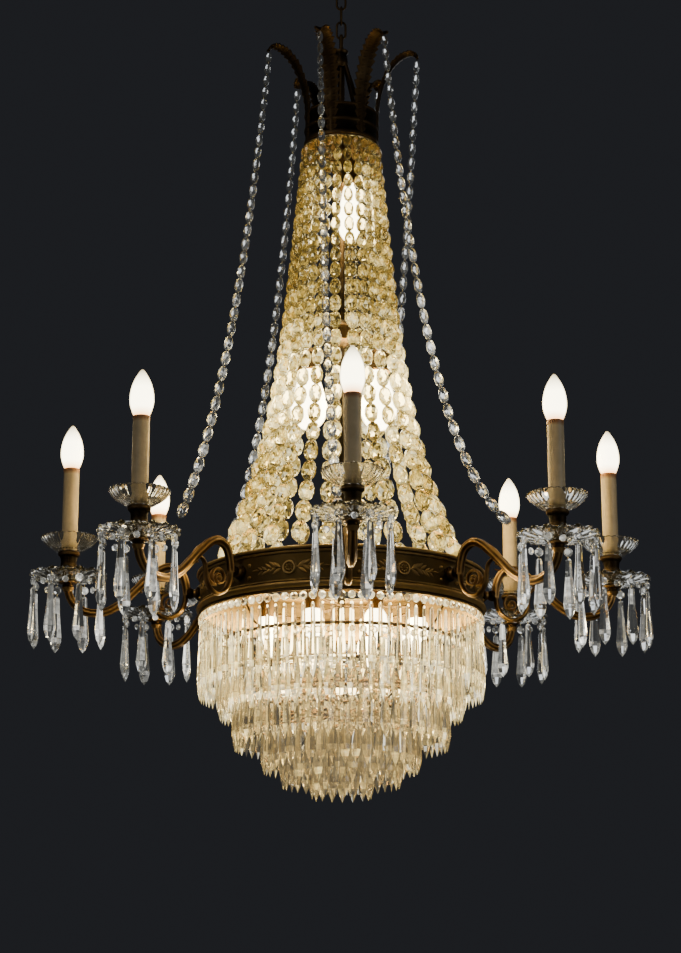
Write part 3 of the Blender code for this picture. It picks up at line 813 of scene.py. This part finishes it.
def ring_ornament():
    """In each bay between two arms: a rosette in the middle, a leafy spray to each side and studs by each arm."""
    middle_z = (RING_TOP_Z + RING_BOTTOM_Z) / 2 - 0.0005

    def petals(radius, height, angle):
        return radius * (1 + 0.10 * math.cos(8 * angle)), height + 0.0005 * math.cos(8 * angle)

    rim = lathe([(0.0078, 0.0030), (0.0096, 0.0030), (0.0108, 0.0), (0.0066, 0.0)], 32, looped=True)
    flower_outline = [
        (0, 0.0034), (0.0016, 0.0034), (0.0022, 0.0018), (0.0048, 0.0030),
        (0.0062, 0.0008), (0.0062, -0.001), (0, -0.001),
    ]
    flower = lathe(flower_outline, 48, wave=petals)
    stud = lathe([(0, 0.0035), (0.0015, 0.0031), (0.0026, 0.0016), (0.0028, 0.0), (0, -0.001)], 14)
    parts = []
    for number in ARMS:
        bay = arm_angle(number) + TAU / 16
        parts.append(placed(rim, on_frieze(bay, 0, middle_z, 0)))
        parts.append(placed(flower, on_frieze(bay, 0, middle_z, 0)))
        for side in (-1, 1):
            ahead = 0.0 if side > 0 else math.pi
            for step in range(5):
                offset = side * (0.0125 + 0.0075 * step)
                height = middle_z + 0.0022 * math.sin(step * 1.4)
                for lift in (-1, 1):
                    size = 0.0165 - 0.0015 * step
                    tilt = ahead + side * lift * math.radians(34)
                    parts.append(placed(leaf(size, size * 0.40, 0.0022), on_frieze(bay, offset, height, tilt)))
            parts.append(placed(leaf(0.012, 0.0042, 0.0022), on_frieze(bay, side * 0.049, middle_z, ahead)))
            stalk = [(side * (0.011 + 0.038 * t), 0.0016 * math.sin(t * 7.0)) for t in np.linspace(0, 1, 9)]
            bar = sweep([(x, y, 0.0006) for x, y in stalk], circle(0.0011, 6))
            bent = []
            for offset, height, lift in bar[0]:
                outward = at(turn=bay + offset / RING_FRIEZE) @ Vector((lift, 0, 0))
                bent.append(tuple(on_frieze(bay, offset, middle_z + height, 0).translation + outward))
            parts.append((np.array(bent), bar[1] if side > 0 else [face[::-1] for face in bar[1]]))
            parts.append(placed(stud, on_frieze(bay, side * 0.0665, middle_z + 0.009, 0)))
            parts.append(placed(stud, on_frieze(bay, side * 0.0665, middle_z - 0.009, 0)))
    return parts


# Arms


def arm_shape():
    root_z = (RING_TOP_Z + RING_BOTTOM_Z) / 2 + 0.001
    # boss, as (reach, radius) from the frieze out
    boss = [
        (0.2138, 0.0), (0.2138, 0.0100), (0.2155, 0.0112), (0.2175, 0.0108), (0.2185, 0.0086), (0.2210, 0.0062),
        (0.2230, 0.0060), (0.2250, 0.0078), (0.2285, 0.0088), (0.2325, 0.0078), (0.2350, 0.0050), (0.2360, 0.0),
    ]
    turned, turned_faces = lathe([(radius, -reach) for reach, radius in boss], 28)
    laid = turned[:, [2, 1, 0]] * np.array((-1, 1, 1)) + np.array((0, 0, root_z))
    boss_shape = (laid, [face[::-1] for face in turned_faces])
    bar = smooth(
        [
            (0.2330, -1.0660), (0.2360, -1.0460), (0.2440, -1.0290), (0.2600, -1.0222), (0.2760, -1.0280),
            (0.2930, -1.0420), (0.3120, -1.0600), (0.3320, -1.0790), (0.3550, -1.0920), (0.3800, -1.0935),
            (0.3990, -1.0840), (0.4090, -1.0700), (ARM_REACH, -1.0560),
        ],
        5,
    )
    scroll = smooth(
        [
            (0.2350, -1.0650), (0.2370, -1.0800), (0.2450, -1.0930), (0.2590, -1.1000), (0.2730, -1.0960),
            (0.2820, -1.0840), (0.2840, -1.0700), (0.2870, -1.0580), (0.2960, -1.0520), (0.3030, -1.0570),
            (0.3010, -1.0620),
        ],
        5,
    )
    count = len(scroll)
    thin = [1.0 - 0.45 * index / (count - 1) for index in range(count)]
    volute_steps = 34
    volute = spiral((0.2580, -1.0760), 0.0150, math.radians(-40), 1.7, volute_steps, 0.14)
    volute_sizes = [1.1 - 0.55 * step / volute_steps for step in range(volute_steps + 1)]
    link = smooth([(0.2830, -1.0720), (0.2790, -1.0820), (0.2720, -1.0870), (0.2660, -1.0880)], 4)
    side = Vector((0, 1, 0))
    reeded = circle(0.0062, 24, 6, 0.09)
    flat = [(u * 1.25, v * 0.85) for u, v in circle(0.0046, 16, 4, 0.08)]
    narrow = [(u * 1.3, v * 0.8) for u, v in circle(0.0030, 10)]
    parts = [
        boss_shape,
        sweep(in_plane(bar), reeded, side=side),
        sweep(in_plane(scroll), flat, side=side, sizes=thin),
        sweep(in_plane(volute), narrow, side=side, sizes=volute_sizes),
        sweep(in_plane(link), narrow, side=side),
    ]
    # leaves on the bar where it leaves the loop
    for radius, height, slope, length in ((0.2850, -1.0340, -42, 0.030), (0.2560, -1.0235, 160, 0.022)):
        lay = Matrix.Translation((radius, 0, height)) @ Matrix.Rotation(math.radians(-slope), 4, "Y")
        parts.append(placed(leaf(length, 0.0115, 0.0026), lay @ Matrix.Translation((0, 0, 0.0050))))
    knob = lathe([(0, 0.0042), (0.0030, 0.0030), (0.0044, 0.0), (0.0030, -0.0030), (0, -0.0042)], 14)
    parts.append(placed(knob, Matrix.Translation((volute[-1][0], 0, volute[-1][1]))))
    seat = lathe(
        [
            (0, SEAT_Z), (0.0125, SEAT_Z), (0.0140, SEAT_Z - 0.0012), (0.0140, SEAT_Z - 0.0030),
            (0.0090, SEAT_Z - 0.0050), (0.0082, SEAT_Z - 0.0080), (0.0096, SEAT_Z - 0.0100),
            (0.0082, SEAT_Z - 0.0125), (0.0066, SEAT_Z - 0.0160), (0, SEAT_Z - 0.0180),
        ],
        32,
    )
    parts.append(placed(seat, at(ARM_REACH)))
    return joined(parts)


def build_arms():
    arm = arm_shape()
    glass = pan_shape()
    drops, wires = pan_drops()
    dish = dish_shape()
    cup = cup_shape()
    sleeve = sleeve_shape()
    bulb = candle_lamp_shape()
    for number in ARMS:
        angle = arm_angle(number)
        axis = CANDLE_AXES[number]
        home = at(axis.x, axis.y, 0, angle)
        piece(
            f"arm_casting_{number}", placed(arm, at(turn=angle)), GILT_BRONZE,
            stands_for=(f"arm_{number}",), smooth_angle=40,
        )
        piece(
            f"pan_glass_{number}", placed(glass, home), PRESSED_GLASS,
            stands_for=(f"drip_pan_{number}",), smooth_angle=40, painted_glint_share=0.5,
        )
        piece(f"pan_drops_{number}", placed(drops, home), CLEAR_CRYSTAL, painted_glint_share=3.0)
        piece(f"pan_wires_{number}", placed(wires, home), PIN_METAL)
        piece(
            f"dish_glass_{number}", placed(dish, home), PRESSED_GLASS,
            stands_for=(f"candle_dish_{number}",), smooth_angle=40, painted_glint_share=0.6,
        )
        piece(f"candle_cup_{number}", placed(cup, home), DARK_BRONZE, smooth_angle=35)
        piece(
            f"candle_sleeve_{number}", placed(sleeve, home), IVORY,
            stands_for=(f"candle_{number}",), smooth_angle=35,
        )
        lamp = piece(
            f"candle_lamp_{number}", placed(bulb, home), CANDLE_GLASS,
            body=f"bulb_{number}", stands_for=(f"candle_bulb_{number}",), smooth_angle=60,
        )
        lamp.visible_shadow = False


def pan_shape():
    """A pressed glass pan with sixteen scallops round its rim, and a short neck round the candle cup."""
    low = SEAT_Z + 0.0004

    def scallops(radius, height, angle):
        share = min(max((radius - 0.018) / 0.040, 0.0), 1.0)
        ridge = math.cos(16 * angle)
        return radius * (1 - 0.035 * share * (1 - abs(ridge))), height + share * (0.0016 * ridge)

    outline = [
        (0.0168, low + 0.0190), (0.0185, low + 0.0180), (0.0172, low + 0.0120), (0.0190, low + 0.0070),
        (0.0300, low + 0.0062), (0.0420, low + 0.0092), (0.0520, low + 0.0122), (0.0570, low + 0.0118),
        (0.0588, low + 0.0094), (0.0582, low + 0.0072), (0.0540, low + 0.0060), (0.0440, low + 0.0040),
        (0.0320, low + 0.0016), (0.0200, low), (0.0060, low), (0.0060, low + 0.0036),
        (0.0132, low + 0.0040), (0.0132, low + 0.0190),
    ]
    return lathe(outline, 128, looped=True, wave=scallops)


def pan_drops():
    """Octagon stones and spears hung round the rim, with smaller stones looped between them."""
    stones, wires = [], []
    rim_z = SEAT_Z + 0.0040
    circle_radius = 0.0545
    tip_z = PAN_LOW.z
    for number in range(PAN_DROPS):
        home = at(turn=TAU * (number + 0.5) / PAN_DROPS) @ at(circle_radius)
        stones.append(placed(octagon_stone(0.0140), home @ at(0, 0, rim_z - 0.0078)))
        top = rim_z - 0.0172
        drop = spear(top - tip_z - 0.0002, 0.0190, 0.70, 0.74)
        stones.append(placed(drop, home @ at(0, 0, top) @ Matrix.Rotation(math.pi / 2, 4, "Z")))
        wires.append(placed(PIN, home @ at(0, 0, rim_z)))
        wires.append(placed(PIN, home @ at(0, 0, rim_z - 0.0158)))
        spot = at(turn=TAU * (number + 1) / PAN_DROPS) @ at(circle_radius - 0.006, 0, rim_z - 0.010)
        stones.append(placed(octagon_stone(0.0110), spot @ Matrix.Rotation(RNG.uniform(-0.5, 0.5), 4, "Z")))
    return joined(stones), joined(wires)


def dish_shape():
    """A fluted glass bowl."""
    low, rim = DISH_LOW.z, DISH_HIGH.z

    def flutes(radius, height, angle):
        share = min(max((radius - 0.017) / 0.020, 0.0), 1.0)
        ridge = abs(math.cos(14 * angle))
        return radius * (1 - 0.045 * share * (1 - ridge)), height + 0.0008 * share * ridge

    outline = [
        (0.0395, rim - 0.0012), (0.0420, rim - 0.0006), (0.0435, rim - 0.0022), (0.0428, rim - 0.0050),
        (0.0385, rim - 0.0105), (0.0310, rim - 0.0165), (0.0220, low + 0.0015), (0.0190, low), (0.0130, low),
        (0.0130, low + 0.0036), (0.0200, low + 0.0050), (0.0290, rim - 0.0130), (0.0360, rim - 0.0070),
    ]
    return lathe(outline, 168, looped=True, wave=flutes)


def cup_shape():
    """The bronze cup that carries the dish and the sleeve."""
    seat, foot = DISH_LOW.z - 0.0003, SEAT_Z + 0.0046
    return lathe(
        [
            (0.0120, seat + 0.0001), (0.0150, seat), (0.0163, seat - 0.0012), (0.0163, seat - 0.0050),
            (0.0150, seat - 0.0068), (0.0128, seat - 0.0090), (0.0118, seat - 0.0150), (0.0124, seat - 0.0230),
            (0.0124, foot), (0.0060, foot), (0.0060, foot + 0.002), (0.0100, foot + 0.002), (0.0100, seat - 0.004),
        ],
        36,
        looped=True,
    )


def sleeve_shape():
    top, low = SLEEVE_TOP_Z, DISH_LOW.z
    return lathe(
        [
            (0.0102, top), (0.0116, top), (0.0122, top - 0.0008), (0.0122, top - 0.0040),
            (0.0119, top - 0.0048), (0.0119, low + 0.0008), (0.0080, low + 0.0008), (0.0080, top - 0.004),
        ],
        40,
        looped=True,
    )


def candle_lamp_shape():
    """A candle lamp with a drawn-out tip, and its screw cap."""
    top = SLEEVE_TOP_Z + 0.069
    body = smooth(
        [
            (0.0, top), (0.0022, top - 0.0010), (0.0058, top - 0.0062), (0.0108, top - 0.0150),
            (0.0150, top - 0.0265), (0.0173, top - 0.0400), (0.0168, top - 0.0520), (0.0132, top - 0.0640),
            (0.0112, SLEEVE_TOP_Z + 0.0008),
        ],
        3,
    )
    cap = [(0.0068, SLEEVE_TOP_Z + 0.0006)]
    for turn in range(5):
        z = SLEEVE_TOP_Z - 0.003 - 0.0035 * turn
        cap += [(0.0070, z), (0.0063, z - 0.0017)]
    cap += [(0.0050, SLEEVE_TOP_Z - 0.0225), (0, SLEEVE_TOP_Z - 0.0240)]
    return lathe([(abs(r), z) for r, z in body] + cap, 32)


# Crown, chain and stem


def frond_shape():
    """A palm frond along +X: a midrib with leaflets to each side, rising from the band and curling over."""
    spine = smooth(
        [
            (0.0574, CROWN_LOW.z + 0.005), (0.0576, -0.2950), (0.0590, -0.2650), (0.0660, -0.2330),
            (0.0780, -0.2040), (0.0940, -0.1850), (0.1090, -0.1772), (0.1190, -0.1790), (0.1240, -0.1855),
        ],
        14,
    )
    count = len(spine) - 1
    points, faces = [], []
    leaflets = 21
    for index, (radius, height) in enumerate(spine):
        share = index / count
        ahead = spine[min(index + 1, count)]
        behind = spine[max(index - 1, 0)]
        along = Vector((ahead[0] - behind[0], 0, ahead[1] - behind[1])).normalized()
        face_out = Vector((along.z, 0, -along.x))
        width = 0.0165 * math.sin(math.pi * min(0.12 + 0.80 * share, 1.0)) ** 0.75
        tooth = (share * leaflets) % 1.0
        edge = width * (0.62 + 0.38 * tooth)
        fold = 0.0007 - 0.0010 * tooth
        centre = Vector((radius, 0, height))
        half = ((0.09, 0.0018), (0.55, fold), (1.0, -0.0014))
        for side, lift in (*((-across, rise) for across, rise in reversed(half)), *half):
            points.append(tuple(centre + face_out * lift + Vector((0, edge * side, 0))))
    rows = len(spine)
    for index in range(rows - 1):
        for column in range(5):
            a = index * 6 + column
            faces.append((a, a + 1, a + 7, a + 6))
    mesh = bpy.data.meshes.new("frond")
    mesh.from_pydata(points, [], faces)
    item = bpy.data.objects.new("frond", mesh)
    bpy.context.scene.collection.objects.link(item)
    thicken = item.modifiers.new("thickness", "SOLIDIFY")
    thicken.thickness = 0.0016
    thicken.offset = 0
    bpy.context.view_layer.update()
    done = item.evaluated_get(bpy.context.evaluated_depsgraph_get()).to_mesh()
    shape = (np.array([tuple(v.co) for v in done.vertices]), [tuple(face.vertices) for face in done.polygons])
    bpy.data.objects.remove(item, do_unlink=True)
    return shape


def build_crown():
    top, low = CROWN_TOP_Z, CROWN_LOW.z
    band = lathe(
        [
            (0.0565, top), (0.0588, top - 0.0008), (0.0592, top - 0.0030), (0.0578, top - 0.0052),
            (0.0574, top - 0.0070),
            (0.0574, top - 0.0240), (0.0590, top - 0.0262), (0.0594, top - 0.0285), (0.0588, top - 0.0312),
            (0.0574, top - 0.0330),
            (0.0574, low + 0.0090), (0.0588, low + 0.0074), (0.0596, low + 0.0050), (0.0596, low + 0.0012),
            (0.0585, low),
            (0.0095, low), (0.0095, low + 0.0025), (0.0550, low + 0.0025), (0.0550, top),
        ],
        96,
        looped=True,
    )
    frond = frond_shape()
    fronds = [placed(frond, at(turn=math.radians(direction))) for direction in FROND_DIRECTIONS]
    casting = joined([band, *fronds])
    piece("crown_casting", casting, DARK_BRONZE, stands_for=("crown",), smooth_angle=42)


def link_shape(low, high, in_xz):
    """An oval link of round wire between two heights."""
    wire, bend = 0.0018, 0.007
    route = []
    for centre_z, start in ((high - wire - bend, 0), (low + wire + bend, math.pi)):
        for step in range(13):
            angle = start + math.pi * step / 12
            route.append((bend * math.cos(angle), 0, centre_z + bend * math.sin(angle)))
    shape = sweep(route, circle(wire, 12), True, side=Vector((0, 1, 0)))
    return shape if in_xz else placed(shape, at(turn=math.pi / 2))


def build_hanging_gear():
    for number in range(1, 5):
        low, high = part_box(f"chain_link_{number}")
        link = link_shape(low.z, high.z, number % 2 == 0)
        piece(
            f"oval_link_{number}", link, DARK_BRONZE,
            body=f"link_{number}", stands_for=(f"chain_link_{number}",), smooth_angle=60,
        )
    low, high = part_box("top_loop")
    bend, wire = 0.0065, 0.003
    centre_z = high.z - wire - bend
    block_top, block_low = -0.1655, -0.1960
    eye = [(0, bend, block_top - 0.004)]
    for step in range(17):
        angle = math.pi * step / 16
        eye.append((0, bend * math.cos(angle), centre_z + bend * math.sin(angle)))
    eye += [(0, -bend, block_top - 0.004)]
    block = lathe(
        [
            (0, block_top), (0.0095, block_top), (0.0113, block_top - 0.0015), (0.0113, block_top - 0.0040),
            (0.0092, block_top - 0.0070), (0.0098, block_top - 0.0120), (0.0113, block_low + 0.0080),
            (0.0113, block_low + 0.0040), (0.0090, block_low), (0, block_low),
        ],
        32,
    )
    leg_route = smooth(
        [(0.0085, -0.188), (0.0150, -0.208), (0.0300, -0.250), (0.0455, -0.292), (0.0500, low.z + 0.0002)], 4
    )
    leg = sweep(in_plane(leg_route), circle(0.003, 12), side=Vector((0, 1, 0)))
    legs = [placed(leg, at(turn=math.radians(45) + quarter * TAU / 4)) for quarter in range(4)]
    forging = joined([block, sweep(eye, circle(wire, 12), side=Vector((1, 0, 0))), *legs])
    piece("top_loop_forging", forging, DARK_BRONZE, stands_for=("top_loop",), smooth_angle=40)


def build_stem():
    low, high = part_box("lamp_stem")
    hub = STEM_HUB_Z
    rod = lathe(
        [
            (0, high.z), (0.0055, high.z), (0.0055, hub + 0.024), (0.0090, hub + 0.020), (0.0200, hub + 0.011),
            (0.0210, hub), (0.0200, hub - 0.011), (0.0095, hub - 0.018), (0.0055, hub - 0.024),
            (0.0055, low.z + 0.007), (0.0100, low.z + 0.007), (0.0100, low.z + 0.001), (0.0080, low.z), (0, low.z),
        ],
        32,
    )
    parts = [rod]
    # lampholders: outside radius, height of the mouth, depth and radius of the bore
    for name, outside, mouth, depth, bore in (
        ("inner_lamp_left", 0.0175, -0.709, 0.021, 0.0146),
        ("inner_lamp_right", 0.0175, -0.709, 0.021, 0.0146),
        ("upper_lamp", 0.0130, -0.408, 0.027, 0.0084),
    ):
        centre = middle(name)
        holder = lathe(
            [
                (0, mouth + depth + 0.015), (outside * 0.5, mouth + depth + 0.015),
                (outside, mouth + depth + 0.006), (outside, mouth + 0.004), (outside + 0.001, mouth + 0.002),
                (outside, mouth), (bore, mouth), (bore, mouth + depth), (0, mouth + depth),
            ],
            32,
        )
        parts.append(placed(holder, at(centre.x, centre.y)))
        top = mouth + depth + 0.012
        route = [
            (centre.x * out, centre.y * out, top + rise)
            for out, rise in ((0.2, 0.026), (0.7, 0.028), (1.0, 0.014), (1.0, 0.0))
        ]
        parts.append(sweep(smooth(route, 4), circle(0.0038, 12)))
    assembly = joined(parts)
    piece("lamp_stem_assembly", assembly, DARK_BRONZE, stands_for=("lamp_stem",), smooth_angle=40)


def build_inner_lamps():
    bodies = {"inner_lamp_left": "lamp_left", "inner_lamp_right": "lamp_right", "upper_lamp": "lamp_upper"}
    for name, body in bodies.items():
        low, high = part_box(name)
        centre = (low + high) / 2
        bulb_top = high.z - (0.020 if body != "lamp_upper" else 0.026)
        radius = (high.x - low.x) / 2 * 0.995
        tall = bulb_top - low.z
        neck = 0.0132 if body != "lamp_upper" else 0.0070
        profile = smooth(
            [
                (neck, bulb_top), (neck + 0.0030, bulb_top - 0.07 * tall), (radius * 0.72, bulb_top - 0.25 * tall),
                (radius * 0.97, bulb_top - 0.50 * tall), (radius, bulb_top - 0.66 * tall),
                (radius * 0.80, bulb_top - 0.85 * tall), (radius * 0.42, bulb_top - 0.965 * tall), (0.0, low.z),
            ],
            3,
        )
        shape = lathe([(0, high.z), (neck, high.z), *[(max(r, 0), z) for r, z in profile]], 32)
        lamp = piece(
            f"{name}_glass", placed(shape, at(centre.x, centre.y)), INNER_GLASS,
            body=body, stands_for=(name,), smooth_angle=60,
        )
        lamp.visible_shadow = False


# Side strands


def hanging(start, end, slack):
    """A walk along a chain that hangs between two places, slack times as long as the straight way."""
    start, end = Vector(start), Vector(end)
    level = Vector((end.x - start.x, end.y - start.y, 0))
    h, v = level.length, end.z - start.z
    total = (end - start).length * slack
    goal = math.sqrt(total**2 - v**2)
    low, high = 1e-3, 50.0
    for _ in range(80):
        a = (low + high) / 2
        if 2 * a * math.sinh(min(h / (2 * a), 300)) > goal:
            low = a
        else:
            high = a
    x0 = h / 2 - a * math.asinh(v / goal)
    begin = math.sinh(-x0 / a)
    direction = level.normalized()

    def walk(s):
        x = x0 + a * math.asinh(s / a + begin)
        z = start.z + a * (math.cosh((x - x0) / a) - math.cosh(x0 / a))
        slope = math.sinh((x - x0) / a)
        place = start + direction * x + Vector((0, 0, z - start.z))
        return place, (direction + Vector((0, 0, slope))).normalized()

    return total, walk


def build_side_strands():
    beads, pins = [], []
    for degrees, number, way, slack in SIDE_STRANDS:
        angle = math.radians(degrees)
        reach, tip_z = FROND_TIP
        tip = Vector((reach * math.cos(angle), reach * math.sin(angle), tip_z))
        axis = CANDLE_AXES[number]
        rim = Vector((axis.x, axis.y, SEAT_Z + 0.0160)) + Vector((*way, 0)).normalized() * 0.0500
        total, walk = hanging(tip, rim, slack)
        more_beads, more_pins = bead_run(walk, total, SIDE_BEAD_TOP, SIDE_BEAD_BOTTOM)
        beads += more_beads
        pins += more_pins
    piece("side_strand_beads", joined(beads), CLEAR_CRYSTAL, painted_glint_share=1.3, weights=BEAD_WEIGHTS)
    piece("side_strand_pins", joined(pins), PIN_METAL)


# Studio


def aim(item, target):
    item.rotation_euler = (Vector(target) - item.location).to_track_quat("-Z", "Y").to_euler()


def area_light(name, place, target, size, power, colour=(1, 1, 1)):
    data = bpy.data.lights.new(name, "AREA")
    data.size = size
    data.energy = power
    data.color = colour
    item = bpy.data.objects.new(name, data)
    item.location = place
    bpy.context.scene.collection.objects.link(item)
    aim(item, target)


def lamp_light(name, place, power, radius):
    data = bpy.data.lights.new(name, "POINT")
    data.energy = power
    data.shadow_soft_size = radius
    data.color = (1.0, 0.76, 0.36)
    item = bpy.data.objects.new(name, data)
    item.location = place
    bpy.context.scene.collection.objects.link(item)


def build_studio():
    world = bpy.data.worlds.new("studio")
    world.use_nodes = True
    world.node_tree.nodes["Background"].inputs["Color"].default_value = (0.016, 0.017, 0.020, 1)
    bpy.context.scene.world = world
    floor_mesh = bpy.data.meshes.new("studio_floor")
    floor_mesh.from_pydata([(-14, -14, -7), (14, -14, -7), (14, 14, -7), (-14, 14, -7)], [], [(0, 1, 2, 3)])
    floor = bpy.data.objects.new("studio_floor", floor_mesh)
    bpy.context.scene.collection.objects.link(floor)
    paint, _, shader = material("pale_floor", roughness=0.8)
    shader.inputs["Base Color"].default_value = (0.62, 0.61, 0.59, 1)
    floor_mesh.materials.append(paint)
    middle_point = (0, 0, -0.85)
    area_light("key", (-2.2, -2.6, 0.6), middle_point, 1.3, 16, (1.0, 0.97, 0.93))
    area_light("fill", (2.6, -1.8, -0.9), middle_point, 1.4, 12, (0.95, 0.98, 1.0))
    area_light("rim", (0.8, 2.8, 0.4), middle_point, 1.4, 7, (0.90, 0.95, 1.0))
    stem_lamps = 3
    for number, (place, power) in enumerate(LAMPS):
        lamp_light(f"lamp_light_{number}", place, (9.0 if number < stem_lamps else 5.0) * power, 0.015)


def build_camera():
    """The view is from below and a little to the left of arm 1, with a long lens."""
    distance, height, swing = 3.291, -1.747, math.radians(2.15)
    heading, pitch = math.radians(2.13), math.radians(14.80)
    data = bpy.data.cameras.new("camera")
    data.sensor_fit = "VERTICAL"
    data.sensor_height = 36.0
    data.lens = 83.75
    camera = bpy.data.objects.new("camera", data)
    bpy.context.scene.collection.objects.link(camera)
    stand = Matrix.Rotation(-swing, 4, "Z") @ Vector((0, -distance, height))
    turn = Matrix.Rotation(-heading, 4, "Z") @ Matrix.Rotation(math.pi / 2 + pitch, 4, "X")
    camera.matrix_world = Matrix.Translation(stand) @ turn
    bpy.context.scene.camera = camera


def finish_carried_nodes():
    for name in ("ceiling_hook", "basket_frame"):
        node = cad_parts[name]
        node.data.materials.clear()
        node.data.materials.append(DARK_BRONZE)


build_camera()
build_studio()
build_hanging_gear()
build_crown()
build_stem()
build_inner_lamps()
build_tent()
build_ring()
build_basket()
build_arms()
build_side_strands()
finish_carried_nodes()
